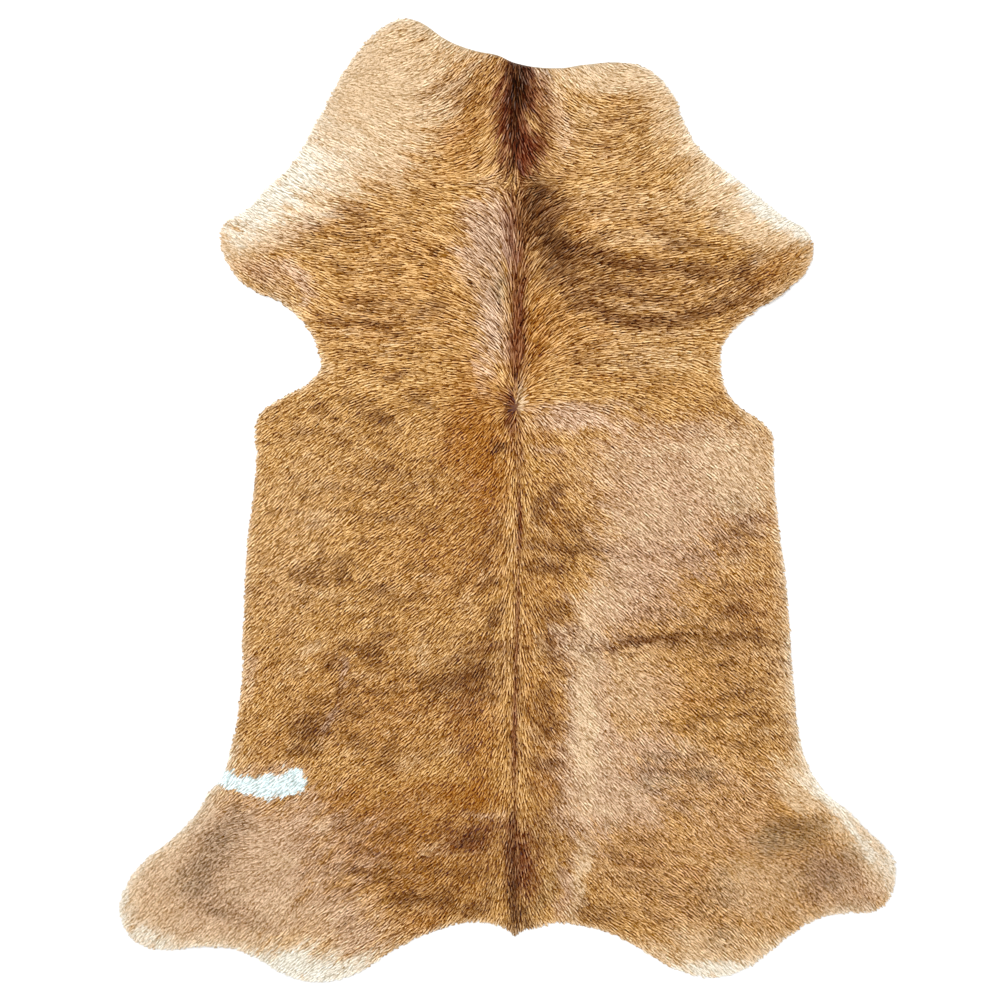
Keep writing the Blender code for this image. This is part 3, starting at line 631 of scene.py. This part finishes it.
def tones_of_coat(x, y, lie, inward):
    """How strongly each tone of TONES shows at each place, from 0 to 1. inward is from the trimmed edge."""
    fine, broad = streak(x, y, lie, *FINE_STREAK), streak(x, y, lie, *BROAD_STREAK)
    loose = ease(*SPINE_HOLD, np.abs(x - spine_at(y)))
    x = x + loose * layered(x, y, CHART_DRIFT[0])
    y = y + loose * layered(x, y, CHART_DRIFT[1])
    ragged = BROKEN_EDGE[0] * broad + BROKEN_EDGE[1] * fine
    clear = {name: np.ones(len(x)) for name in TONES}
    faded = np.zeros(len(x))
    for mark in marks_of_coat():
        right, up = x - mark.x, y - mark.y
        along = right * math.cos(mark.turn) + up * math.sin(mark.turn)
        across = up * math.cos(mark.turn) - right * math.sin(mark.turn)
        away = np.hypot(along / mark.length, across / mark.width)
        near = mark.strength * (1 - ease(FULL_REACH, CHART_REACH, away + ragged))
        if mark.tone == "bands":
            waves = layered(along, across, BAND_WAVES)
            darker = np.minimum(BANDS_DARKEN * near, BANDS_DARKEST)
            clear["brindle"] *= 1 - darker * ease(0, BAND_EDGE, waves)
            clear["cream"] *= 1 - BANDS_CLEAR * near * ease(0, GAP_EDGE, -waves)
        elif mark.tone == "rim":
            faded = np.maximum(faded, near)
        else:
            clear[mark.tone] *= 1 - near
    for row in PALE_EDGES:
        clear[row.tone] *= 1 - row.rim * clear["mane"] * faded * np.exp(-inward / row.rim_reach)
        clear[row.tone] *= 1 - row.edge * clear["mane"] * np.exp(-inward / row.edge_reach)
    low, high, moved = WHITE_EDGE
    clear["snow"] *= 1 - ease(low, high, stroke_cover(x, y, WHITE_MARK) + moved * fine)
    found = {name: 1 - clear[name] for name in TONES}
    for name, broken in BREAK_UP.items():
        share = found[name]
        streaks = BREAK_UP_FINE * fine + BREAK_UP_BROAD * broad
        found[name] = np.clip(share + broken * streaks * np.sqrt(share * (BREAK_UP_END - share)), 0, 1)
    return found


# ---------------------------------------------------------------- help for meshes and nodes

def in_scene(obj):
    bpy.context.scene.collection.objects.link(obj)
    return obj


def numbers_of(mesh):
    """A mesh's points as rows of x, y, z."""
    flat = np.empty(len(mesh.vertices) * 3, np.float32)
    mesh.vertices.foreach_get("co", flat)
    return flat.reshape(-1, 3).astype(float)


def give(mesh, name, values, kind="FLOAT"):
    """Writes one attribute of a mesh's points."""
    attribute = mesh.attributes.get(name) or mesh.attributes.new(name, kind, "POINT")
    field = "vector" if kind == "FLOAT_VECTOR" else "value"
    attribute.data.foreach_set(field, np.ascontiguousarray(values, np.float32).ravel())


def made_plain(piece):
    """Gives a piece the mesh that its modifiers make, and takes them off."""
    graph = bpy.context.evaluated_depsgraph_get()
    mesh = bpy.data.meshes.new_from_object(piece.evaluated_get(graph))
    piece.modifiers.clear()
    piece.data = mesh
    mesh.name = piece.name
    return mesh


def put(tree, kind, wires=None, **settings):
    """Adds one node. Settings are its own options; wires maps an input to a socket or to a value."""
    made = tree.nodes.new(kind)
    for name, value in settings.items():
        setattr(made, name, value)
    for key, value in (wires or {}).items():
        if isinstance(value, bpy.types.NodeSocket):
            tree.links.new(value, made.inputs[key])
        else:
            made.inputs[key].default_value = value
    return made


def maths(tree, operation, *values):
    """The result of one Math node."""
    return put(tree, "ShaderNodeMath", dict(enumerate(values)), operation=operation).outputs[0]


def vectors(tree, operation, *values):
    """The result of one Vector Math node."""
    return put(tree, "ShaderNodeVectorMath", dict(enumerate(values)), operation=operation).outputs[0]


def noise(tree, place, scale, detail=2.0):
    """Noise from 0 to 1."""
    return put(tree, "ShaderNodeTexNoise", {"Vector": place, "Scale": scale, "Detail": detail}).outputs[0]


def swing(tree, value, depth, middle=0.0):
    """A value from 0 to 1 as one of this depth about its middle."""
    return maths(tree, "MULTIPLY_ADD", value, depth, middle - depth / 2)


# ---------------------------------------------------------------- materials

def attribute_of(tree, name):
    return put(tree, "ShaderNodeAttribute", attribute_name=name).outputs["Fac"]


def charted_colour(tree, colours):
    """The coat's colour from the tones that the mesh carries."""
    colour = (*colours.honey, 1)
    for name in TONES[1:]:
        over = {0: attribute_of(tree, name), 6: colour, 7: (*getattr(colours, name), 1)}
        colour = put(tree, "ShaderNodeMix", over, data_type="RGBA").outputs[2]
    return colour


def lit(tree, colour, amount):
    """The colour with an amount of light added or taken away, in even steps as the eye sees them.

    The darkest and the palest tones take less of it. Both warm it a little: shade more than light,
    and light more on dark hair."""
    do = partial(maths, tree)
    seen = put(tree, "ShaderNodeGamma", {0: colour, 1: 1 / EYE}).outputs[0]
    red = put(tree, "ShaderNodeSeparateXYZ", {0: seen}).outputs[0]
    taken = do("MINIMUM", do("MULTIPLY_ADD", red, *DARK_TAKES), do("MULTIPLY_ADD", red, *PALE_TAKES))
    amount = do("MINIMUM", do("MULTIPLY", amount, taken), MOST_LIGHT)
    moved = vectors(tree, "ADD", seen, amount)
    dark = do("MAXIMUM", do("MULTIPLY_ADD", red, *DARK_GLOWS), 0.0)
    glow = do("MULTIPLY", do("MAXIMUM", amount, 0.0), do("ADD", dark, 1.0))
    glow = do("MULTIPLY_ADD", do("MINIMUM", amount, 0.0), -SHADE_WARMTH, glow)
    moved = vectors(tree, "SUBTRACT", moved, vectors(tree, "MULTIPLY", glow, WARMTH))
    held = vectors(tree, "MAXIMUM", vectors(tree, "MINIMUM", moved, PALEST), DARKEST)
    return put(tree, "ShaderNodeGamma", {0: held, 1: EYE}).outputs[0]


def new_material(name):
    """A material, its tree, its shader and the place on the part that its noise reads."""
    material = bpy.data.materials.new(name)
    material.use_nodes = True
    tree = material.node_tree
    place = put(tree, "ShaderNodeTexCoord").outputs["Object"]
    return material, tree, tree.nodes["Principled BSDF"], place


def dress(tree, shader, colour, light, relief=None, strength=0.0, distance=0.0, **numbers):
    """Gives a shader its lit colour, the bump of a relief, and numbers that are the same all over."""
    tree.links.new(lit(tree, colour, light), shader.inputs["Base Color"])
    if relief:
        bump = put(tree, "ShaderNodeBump", {"Height": relief, "Strength": strength, "Distance": distance})
        tree.links.new(bump.outputs[0], shader.inputs["Normal"])
    for name, number in numbers.items():
        shader.inputs[name.replace("_", " ")].default_value = number


def hair_material(colours):
    """Hair: the charted tone with the strands along each lock, pale at the tip.

    Painted shade darkens the root and each lock's sides, a painted highlight runs along its ridge, and
    stripes of painted light and painted shadow lie in the furrows between locks.
    """
    material, tree, shader, place = new_material("cowhide hair")
    do = partial(maths, tree)
    along, across, shade, lock, crisp, comb = (
        attribute_of(tree, name) for name in ("along", "across", "shade", "lock", "crisp", "comb"))
    spots = [do("MULTIPLY", *pair) for pair in zip((across, along, lock), STRAND_PLACE)]
    strand_place = put(tree, "ShaderNodeCombineXYZ", dict(enumerate(spots))).outputs[0]
    strands = noise(tree, strand_place, 3.0, detail=3.0)
    # Painted light across each lock: a painted highlight on its ridge and painted shade at its sides.
    sides = put(tree, "ShaderNodeMapRange", {
        "Value": do("ABSOLUTE", across), "From Min": 0.15, "From Max": 0.55,
        "To Min": 0.12, "To Max": -0.18}, interpolation_type="SMOOTHSTEP").outputs[0]
    # Stripes along the lie: painted light on the clumps and painted shadow in the furrows between them.
    furrows = put(tree, "ShaderNodeTexGabor", {
        "Vector": place, "Scale": 72.0, "Frequency": 2.5, "Anisotropy": 1.0,
        "Orientation": comb}).outputs["Value"]
    light = do("ADD", sides, swing(tree, strands, STRAND_LIGHT))
    light = do("ADD", light, swing(tree, furrows, FURROW_LIGHT))
    # Painted shade at the root, where other locks cover it, and paler towards the tip.
    light = do("MULTIPLY_ADD", light, crisp, swing(tree, along, *TIP_LIGHT))
    grain = swing(tree, noise(tree, place, 330.0), GRAIN_LIGHT)
    light = do("MULTIPLY_ADD", grain, do("SUBTRACT", SMOOTH_FROM, crisp), light)
    light = do("MULTIPLY_ADD", shade, LOCK_LIGHT, light)
    dress(tree, shader, charted_colour(tree, colours), light, relief=strands, strength=0.5,
          distance=0.0006, Specular_IOR_Level=0.06, Specular_Tint=(1.0, 0.70, 0.40, 1))
    tree.links.new(swing(tree, strands, 0.20, 0.52), shader.inputs["Roughness"])
    return material


def undercoat_material(colours):
    """The hair side of the leather: short dense underhair in the coat's own tones, seen between locks, with
    painted shade darkening it there.
    """
    material, tree, shader, place = new_material("cowhide underhair")
    grain, tufts = noise(tree, place, 420.0, detail=4.0), noise(tree, place, 95.0, detail=3.0)
    # Darker than the chart on the whole: painted shade on the underhair between the locks.
    light = maths(tree, "ADD", swing(tree, grain, 0.50, -0.20), swing(tree, tufts, 0.40))
    dress(tree, shader, charted_colour(tree, colours), light, relief=grain, strength=0.8, distance=0.0010)
    tree.links.new(swing(tree, grain, 0.25, 0.675), shader.inputs["Roughness"])
    return material


def suede_material(colours):
    """The flesh side and the cut edge: suede with a soft nap, cloudy and streaked by buffing."""
    material, tree, shader, place = new_material("cowhide suede")
    stretched = vectors(tree, "MULTIPLY", place, (46.0, 7.0, 1.0))
    nap, cloud = noise(tree, place, 520.0, detail=5.0), noise(tree, place, 5.0, detail=6.0)
    buffed = noise(tree, stretched, 1.0, detail=3.0)
    light = maths(tree, "ADD", swing(tree, nap, 0.24), swing(tree, cloud, 0.34))
    light = maths(tree, "ADD", light, swing(tree, buffed, 0.16))
    dress(tree, shader, (*colours.suede, 1), light, relief=nap, strength=0.5, distance=0.0004,
          Roughness=0.92, Sheen_Weight=0.25)
    return material


def floor_material():
    """Pale paper under the hide."""
    material, tree, shader, place = new_material("pale floor")
    cloud = swing(tree, noise(tree, place, 3.0), 0.01, -0.005)
    dress(tree, shader, FLOOR_COLOUR, cloud, Roughness=0.9)
    return material


# ---------------------------------------------------------------- the leather

def signed_area(edge):
    """The area within an edge, positive where it runs anticlockwise."""
    following = np.roll(edge, -1, axis=0)
    return np.sum(edge[:, 0] * following[:, 1] - following[:, 0] * edge[:, 1]) / 2


def flesh_side():
    """The solid's underside as a search tree of its faces, and its trimmed edge as an anticlockwise loop."""
    bm = bmesh.new()
    bm.from_mesh(frame["nodes"][SOLID].data)
    bmesh.ops.remove_doubles(bm, verts=bm.verts, dist=MERGE)
    bm.normal_update()
    others = [face for face in bm.faces if face.normal.z > FACES_DOWN]
    bmesh.ops.delete(bm, geom=others, context="FACES")
    tree = BVHTree.FromBMesh(bm)
    start = next(edge for edge in bm.edges if edge.is_boundary)
    loop = [start.verts[0], start.verts[1]]
    while loop[-1] != loop[0]:
        here, before = loop[-1], loop[-2]
        ahead = [edge.other_vert(here) for edge in here.link_edges if edge.is_boundary]
        loop.append(next(vert for vert in ahead if vert != before))
    edge = np.array([vert.co.xy for vert in loop[:-1]])
    bm.free()
    return tree, edge if signed_area(edge) > 0 else edge[::-1]


def outward_normals(edge):
    """The level direction out of the hide at each point of an anticlockwise edge."""
    along = np.roll(edge, -1, axis=0) - np.roll(edge, 1, axis=0)
    out = np.stack([along[:, 1], -along[:, 0]], axis=1)
    return out / np.linalg.norm(out, axis=1)[:, None]


def leather_edge(edge, sizes):
    """The edge of the leather, inside the tips of the hair, most where the hair lies outward."""
    out = outward_normals(edge)
    lie = np.stack(lie_of_hair(edge[:, 0], edge[:, 1]), axis=1)
    outward = np.clip(np.sum(out * lie, axis=1), 0, 1)
    return edge - out * (sizes.edge_inset + sizes.edge_overhang * outward)[:, None]


def lattice_points(edge, spacing, clear):
    """Staggered rows of points over the hide that keep clear of its edge."""
    rim = rim_of(edge)
    low, high = edge.min(axis=0), edge.max(axis=0)
    points = []
    rise = spacing * math.sqrt(0.75)
    for row in range(int((high[1] - low[1]) / rise) + 1):
        shift = spacing * 0.5 * (row % 2)
        for column in range(int((high[0] - low[0]) / spacing) + 1):
            place = Vector((low[0] + shift + column * spacing, low[1] + row * rise, 0))
            if rim.find(place)[2] > clear:
                points.append(place.xy)
    return points


def open_sheet(name, edge, spacing, underside):
    """An open sheet inside the edge that follows the flesh side's swells and creases."""
    rim = [Vector(point) for point in edge]
    points = rim + lattice_points(edge, spacing, spacing * CLEAR_OF_EDGE)
    loop = list(range(len(rim)))
    places, _, faces, *_ = delaunay_2d_cdt(points, [], [loop], 1, MERGE)
    high = Vector((0, 0, 1))
    raised = []
    for place in places:
        hit = underside.ray_cast(Vector((*place, 0)) + high, -high)[0]
        if hit is None:
            hit = underside.find_nearest(Vector((*place, 0)))[0]
        raised.append((place.x, place.y, hit.z))
    mesh = bpy.data.meshes.new(name)
    mesh.from_pydata(raised, [], faces)
    bm = bmesh.new()
    bm.from_mesh(mesh)
    bmesh.ops.delete(bm, geom=[vert for vert in bm.verts if not vert.link_faces], context="VERTS")
    if sum(face.normal.z for face in bm.faces) < 0:
        bmesh.ops.reverse_faces(bm, faces=bm.faces)
    bm.to_mesh(mesh)
    bm.free()
    return in_scene(bpy.data.objects.new(name, mesh))


def carry_tones(mesh, edge):
    """Writes the charted tones onto a mesh's own points."""
    x, y, _ = numbers_of(mesh).T
    for name, share in tones_of_coat(x, y, lie_of_hair(x, y), from_rim(rim_of(edge), x, y)).items():
        if name != TONES[0]:
            give(mesh, name, share)


class COWHIDE_OT_leather(bpy.types.Operator):
    """Make the leather: one thin sheet on the solid's own swells and creases."""
    bl_idname = "cowhide.leather"
    bl_label = "Leather"

    def execute(self, context):
        sizes, colours = context.scene.cowhide_sizes, context.scene.cowhide_colours
        underside, edge = flesh_side()
        skin = open_sheet("hide_skin", leather_edge(edge, sizes), sizes.skin_lattice, underside)
        depth = skin.modifiers.new("leather", "SOLIDIFY")
        depth.thickness = sizes.leather_depth
        depth.offset = 1
        depth.material_offset = 0
        skin.data.materials.append(suede_material(colours))
        skin.data.materials.append(undercoat_material(colours))
        mesh = made_plain(skin)
        for face in mesh.polygons:
            face.material_index = 1 if face.normal.z > FACES_UP else 0
        carry_tones(mesh, edge)
        mesh.shade_smooth()
        mesh.set_sharp_from_angle(angle=math.radians(SHARP_TURN))
        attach(skin, BODY)
        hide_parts(SOLID)
        return {"FINISHED"}


# ---------------------------------------------------------------- the hair

LOCK_INPUTS = [
    ("Spacing", "NodeSocketFloat", 0.007),
    ("Most locks", "NodeSocketFloat", 60000.0),
    ("Length share", "NodeSocketFloat", 1.0),
    ("Width", "NodeSocketFloat", 0.0036),
    ("Rise", "NodeSocketFloat", 0.0016),
    ("Lean", "NodeSocketFloat", 0.05),
    ("Unruliness", "NodeSocketFloat", 0.15),
    ("Overhang", "NodeSocketFloat", 0.002),
    ("Seed", "NodeSocketInt", 1),
    ("Lock shapes", "NodeSocketCollection", None),
    ("Hair", "NodeSocketMaterial", None),
]


def lock_tree():
    """Geometry Nodes that set locks of hair on a sheet, each along the lie that the sheet carries."""
    tree = bpy.data.node_groups.new("Locks of hair", "GeometryNodeTree")
    tree.interface.new_socket("Sheet", in_out="INPUT", socket_type="NodeSocketGeometry")
    for name, kind, default in LOCK_INPUTS:
        socket = tree.interface.new_socket(name, in_out="INPUT", socket_type=kind)
        if default is not None:
            socket.default_value = default
    tree.interface.new_socket("Locks", in_out="OUTPUT", socket_type="NodeSocketGeometry")
    given = tree.nodes.new("NodeGroupInput").outputs
    do = partial(maths, tree)

    def carried(name, kind="FLOAT"):
        return put(tree, "GeometryNodeInputNamedAttribute", {"Name": name}, data_type=kind).outputs[0]

    def chance(limits, step):
        wires = {2: limits[0], 3: limits[1], "Seed": do("ADD", given["Seed"], step)}
        return put(tree, "FunctionNodeRandomValue", wires, data_type="FLOAT").outputs[1]

    points = put(tree, "GeometryNodeDistributePointsOnFaces", {
        "Mesh": given["Sheet"], "Distance Min": given["Spacing"], "Density Max": given["Most locks"],
        "Seed": given["Seed"]}, distribute_method="POISSON")
    align = partial(put, tree, "FunctionNodeAlignRotationToVector")
    level = align({"Vector": carried("lie", "FLOAT_VECTOR")}, axis="X").outputs[0]
    upright = align({"Rotation": level, "Vector": points.outputs["Normal"]}, axis="Z", pivot_axis="X")
    unruly = do("ADD", chance(EITHER_WAY, 3), chance(EITHER_WAY, 4))
    turns = put(tree, "ShaderNodeCombineXYZ", {
        0: chance(ROLLS, 1),
        1: do("MULTIPLY", given["Lean"], chance(LEANS, 2)),
        2: do("MULTIPLY", given["Unruliness"], unruly)})
    turned = put(tree, "FunctionNodeRotateRotation",
                 {"Rotation": upright.outputs[0], "Rotate By": turns.outputs[0]}, rotation_space="LOCAL")
    usual = do("MULTIPLY", carried("hair length"), given["Length share"])
    grown = do("MULTIPLY", usual, chance(LENGTHS, 5))
    room = do("ADD", carried("reach"), do("MULTIPLY", given["Overhang"], chance(EITHER_WAY, 6)))
    width = do("MULTIPLY", given["Width"], carried("width"))
    size = put(tree, "ShaderNodeCombineXYZ", {
        0: do("MAXIMUM", do("MINIMUM", grown, room), given["Width"]),
        1: do("MULTIPLY", width, chance(WIDTHS, 7)),
        2: do("MULTIPLY", given["Rise"], chance(RISES, 8))})
    shapes = put(tree, "GeometryNodeCollectionInfo", {
        "Collection": given["Lock shapes"], "Separate Children": True, "Reset Children": True})
    locks = put(tree, "GeometryNodeInstanceOnPoints", {
        "Points": points.outputs["Points"], "Instance": shapes.outputs[0], "Pick Instance": True,
        "Instance Index": do("FLOOR", chance((0.0, len(TIP_BENDS) - 0.001), 9)),
        "Rotation": turned.outputs[0], "Scale": size.outputs[0]})
    solid = put(tree, "GeometryNodeRealizeInstances", {"Geometry": locks.outputs[0]})
    dyed = put(tree, "GeometryNodeSetMaterial", {"Geometry": solid.outputs[0], "Material": given["Hair"]})
    out = tree.nodes.new("NodeGroupOutput")
    tree.links.new(dyed.outputs[0], out.inputs[0])
    return tree


# A lock's points for a length, width and rise of 1: share of the way to the tip, side, height, and place
# across the lock; then its six faces and, for each corner, how far round the lock it lies on its own map
LOCK_SHAPE = {
    "root": (0.0, 0.0, -0.10, 0.0), "left": (0.36, 0.5, 0.45, 1.0), "right": (0.36, -0.5, 0.45, -1.0),
    "ridge": (0.40, 0.0, 1.05, 0.0), "tip": (1.0, 0.0, 0.55, 0.0)}
LOCK_FACES = [
    (("root", 0.20), ("ridge", 0.35), ("left", 0.05)), (("root", 0.50), ("right", 0.65), ("ridge", 0.35)),
    (("root", 0.80), ("left", 0.95), ("right", 0.65)), (("tip", 0.20), ("left", 0.05), ("ridge", 0.35)),
    (("tip", 0.50), ("ridge", 0.35), ("right", 0.65)), (("tip", 0.80), ("right", 0.65), ("left", 0.95))]
MAP_ALONG = {"root": 0.04, "left": 0.38, "right": 0.38, "ridge": 0.38, "tip": 0.96}
TIP_BENDS = (-0.3, 0.0, 0.3)        # how far the tip is off to the side, in widths
BAKE_MAP = "OFBake"


def lock_shapes():
    """The few shapes that a lock may have, in a collection of their own."""
    shapes = bpy.data.collections.new("lock shapes")
    names = list(LOCK_SHAPE)
    for number, bend in enumerate(TIP_BENDS):
        mesh = bpy.data.meshes.new(f"lock_{number}")
        places = [(along, side + (bend if name == "tip" else 0), height)
                  for name, (along, side, height, _) in LOCK_SHAPE.items()]
        faces = [[names.index(name) for name, _ in face] for face in LOCK_FACES]
        mesh.from_pydata(places, [], faces)
        give(mesh, "along", [LOCK_SHAPE[name][0] for name in names])
        give(mesh, "across", [LOCK_SHAPE[name][3] for name in names])
        spots = [(MAP_ALONG[name], round_it) for face in LOCK_FACES for name, round_it in face]
        mesh.uv_layers.new(name=BAKE_MAP).data.foreach_set("uv", np.ravel(spots).tolist())
        shapes.objects.link(bpy.data.objects.new(mesh.name, mesh))
    return shapes


def reach_to_edge(x, y, lie, edge, longest):
    """How far each place is from the trimmed edge, going with the lie of the hair."""
    reach = np.full(len(x), longest)
    following = np.roll(edge, -1, axis=0)
    for (ax, ay), (bx, by) in zip(edge, following):
        across = lie[0] * (by - ay) - lie[1] * (bx - ax)
        across = np.where(np.abs(across) < NOTHING, NOTHING, across)
        far = ((ax - x) * (by - ay) - (ay - y) * (bx - ax)) / across
        share = ((ax - x) * lie[1] - (ay - y) * lie[0]) / across
        hit = (far > 0) & (share >= 0) & (share <= 1)
        reach = np.where(hit, np.minimum(reach, far), reach)
    return reach


def combed_sheet(underside, edge, sizes):
    """A fine open sheet at the top of the leather that carries the lie, length and reach of the hair."""
    sheet = open_sheet("combed sheet", leather_edge(edge, sizes), sizes.skin_lattice, underside)
    bm = bmesh.new()
    bm.from_mesh(sheet.data)
    bmesh.ops.subdivide_edges(bm, edges=bm.edges, cuts=1, use_grid_fill=True)
    bmesh.ops.triangulate(bm, faces=bm.faces)
    bmesh.ops.translate(bm, verts=bm.verts, vec=(0, 0, sizes.leather_depth))
    bm.to_mesh(sheet.data)
    bm.free()
    x, y, _ = numbers_of(sheet.data).T
    lie = lie_of_hair(x, y, sizes.waviness)
    length = length_of_hair(x, y, sizes.hair_length)
    give(sheet.data, "lie", np.stack([*lie, np.zeros(len(x))], axis=1), "FLOAT_VECTOR")
    give(sheet.data, "hair length", length)
    give(sheet.data, "width", (length / sizes.hair_length) ** NARROWING)
    give(sheet.data, "reach", reach_to_edge(x, y, lie, edge, FARTHEST * sizes.hair_length))
    return sheet


def spread_bake_map(mesh):
    """Gives each lock its own cell of the bake map."""
    uv = np.empty(len(mesh.loops) * 2, np.float32)
    layer = mesh.uv_layers[BAKE_MAP]
    layer.data.foreach_get("uv", uv)
    uv = uv.reshape(-1, len(LOCK_FACES) * 3, 2)
    side = math.ceil(math.sqrt(len(uv)))
    cell = np.stack([np.arange(len(uv)) % side, np.arange(len(uv)) // side], axis=1)
    uv = (uv + cell[:, None, :]) / side
    layer.data.foreach_set("uv", uv.ravel())


def dye(mesh, rim, layer, sizes):
    """Writes each lock's tones and its own shade from the chart."""
    chance = np.random.default_rng(sizes.seed * SEEDS_APART[1] + layer.seed)
    locks = numbers_of(mesh).reshape(-1, LOCK_POINTS, 3)
    count = len(locks)
    root = locks[:, 0]
    span = locks[:, -1] - root
    length = np.linalg.norm(span[:, :2], axis=1)
    lie = span[:, 0] / length, span[:, 1] / length
    slip = chance.uniform(*TONE_READ, count)
    x, y = root[:, 0] + span[:, 0] * slip, root[:, 1] + span[:, 1] * slip
    wild = np.clip(length_of_hair(x, y, sizes.hair_length) / sizes.hair_length, *WILD_HAIR)
    shade = chance.normal(0, LOCK_SHADE, count) + FINE_SHADE * streak(x, y, lie, *FINE_SHADE_STREAK)
    shade += BROAD_SHADE * streak(x, y, lie, *BROAD_SHADE_STREAK)
    give(mesh, "shade", np.repeat(np.clip(shade * wild + layer.tint, *SHADE_LIMITS), LOCK_POINTS))
    give(mesh, "lock", np.repeat(chance.random(count), LOCK_POINTS))
    tones = tones_of_coat(x, y, lie, from_rim(rim, x, y))
    crisp = np.interp(wild, *CRISP_HAIR) * (1 - PALE_HAIR_SMOOTH * tones["cream"])
    give(mesh, "crisp", np.repeat(crisp, LOCK_POINTS))
    at = locks.reshape(-1, 3)
    ahead = lie_of_hair(at[:, 0], at[:, 1], sizes.waviness)
    give(mesh, "comb", np.arctan2(ahead[1], ahead[0]) + math.pi / 2)
    for name in TONES[1:]:
        single = ease(-SINGLE_EDGE, SINGLE_EDGE, tones[name] - chance.uniform(*SINGLE_LEVEL, count))
        dyed = tones[name] * (1 - SINGLE_LOCKS) + single * SINGLE_LOCKS
        give(mesh, name, np.repeat(dyed, LOCK_POINTS))


def grow(sheet, rim, tree, shapes, hair, layer, sizes):
    """Grows one layer of hair on the combed sheet and makes it a plain piece."""
    piece = in_scene(bpy.data.objects.new(layer.piece, sheet.data.copy()))
    growth = piece.modifiers.new("locks", "NODES")
    growth.node_group = tree
    chosen = {
        "Spacing": layer.spacing, "Length share": layer.length, "Width": sizes.lock_width * layer.width,
        "Rise": layer.rise, "Lean": math.radians(layer.lean), "Unruliness": sizes.unruliness,
        "Overhang": sizes.tip_overhang, "Seed": sizes.seed * SEEDS_APART[0] + layer.seed,
        "Lock shapes": shapes, "Hair": hair}
    for socket in tree.interface.items_tree:
        if socket.name in chosen:
            growth[socket.identifier] = chosen[socket.name]
    mesh = made_plain(piece)
    for name in ("lie", "hair length", "width", "reach"):
        if name in mesh.attributes:
            mesh.attributes.remove(mesh.attributes[name])
    spread_bake_map(mesh)
    dye(mesh, rim, layer, sizes)
    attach(piece, BODY)
    return piece


class COWHIDE_OT_hair(bpy.types.Operator):
    """Grow the coat on the leather, layer by layer."""
    bl_idname = "cowhide.hair"
    bl_label = "Hair"

    def execute(self, context):
        sizes, colours = context.scene.cowhide_sizes, context.scene.cowhide_colours
        underside, edge = flesh_side()
        sheet, tree, shapes = combed_sheet(underside, edge, sizes), lock_tree(), lock_shapes()
        hair = hair_material(colours)
        rim = rim_of(edge)
        coat = [grow(sheet, rim, tree, shapes, hair, layer, sizes) for layer in LAYERS]
        for scratch in (sheet, *shapes.objects):
            bpy.data.objects.remove(scratch)
        bpy.data.collections.remove(shapes)
        return {"FINISHED"}


# ---------------------------------------------------------------- the studio

class COWHIDE_OT_stage(bpy.types.Operator):
    """Set the pale floor, the soft lights and the camera straight above."""
    bl_idname = "cowhide.stage"
    bl_label = "Stage"

    def execute(self, context):
        scene = context.scene
        bpy.ops.mesh.primitive_plane_add(size=FLOOR_SIZE, location=(0, 0, -FLOOR_DROP))
        floor = context.object
        floor.name = "floor"
        floor.data.materials.append(floor_material())

        world = bpy.data.worlds.new("studio")
        world.use_nodes = True
        sky = world.node_tree.nodes["Background"].inputs
        sky["Color"].default_value = (1.0, 1.0, 1.0, 1.0)
        sky["Strength"].default_value = SKY_LIGHT
        scene.world = world
        for row in LAMPS:
            lamp = bpy.data.lights.new(row.name, "AREA")
            lamp.shape = "DISK"
            lamp.size = LAMP_SIZE
            lamp.energy = row.watts
            obj = in_scene(bpy.data.objects.new(row.name, lamp))
            obj.location = row.place
            obj.rotation_euler = (-Vector(row.place)).to_track_quat("-Z", "Y").to_euler()

        lens = bpy.data.cameras.new("camera")
        lens.lens = LENS
        lens.sensor_width = LENS_BACK
        camera = in_scene(bpy.data.objects.new("camera", lens))
        camera.location = CAMERA_PLACE
        scene.camera = camera
        scene.view_settings.view_transform = "Standard"
        return {"FINISHED"}


# ---------------------------------------------------------------- the sidebar

OPERATORS = (COWHIDE_OT_leather, COWHIDE_OT_hair, COWHIDE_OT_stage)


class COWHIDE_PT_panel(bpy.types.Panel):
    """The steps that make the hide, its sizes and its colours."""
    bl_idname = "COWHIDE_PT_panel"
    bl_label = "Cowhide"
    bl_space_type = "VIEW_3D"
    bl_region_type = "UI"
    bl_category = "Cowhide"

    def draw(self, context):
        for operator in OPERATORS:
            self.layout.operator(operator.bl_idname)
        for group in (context.scene.cowhide_sizes, context.scene.cowhide_colours):
            column = self.layout.column(align=True)
            for name in group.__annotations__:
                column.prop(group, name)


CLASSES = (CowhideSizes, CowhideColours, *OPERATORS, COWHIDE_PT_panel)


def register():
    for made in CLASSES:
        bpy.utils.register_class(made)
    bpy.types.Scene.cowhide_sizes = PointerProperty(type=CowhideSizes)
    bpy.types.Scene.cowhide_colours = PointerProperty(type=CowhideColours)


def unregister():
    del bpy.types.Scene.cowhide_sizes
    del bpy.types.Scene.cowhide_colours
    for made in reversed(CLASSES):
        bpy.utils.unregister_class(made)


def main():
    register()
    bpy.ops.cowhide.leather()
    bpy.ops.cowhide.hair()
    bpy.ops.cowhide.stage()


if __name__ == "__main__":
    main()
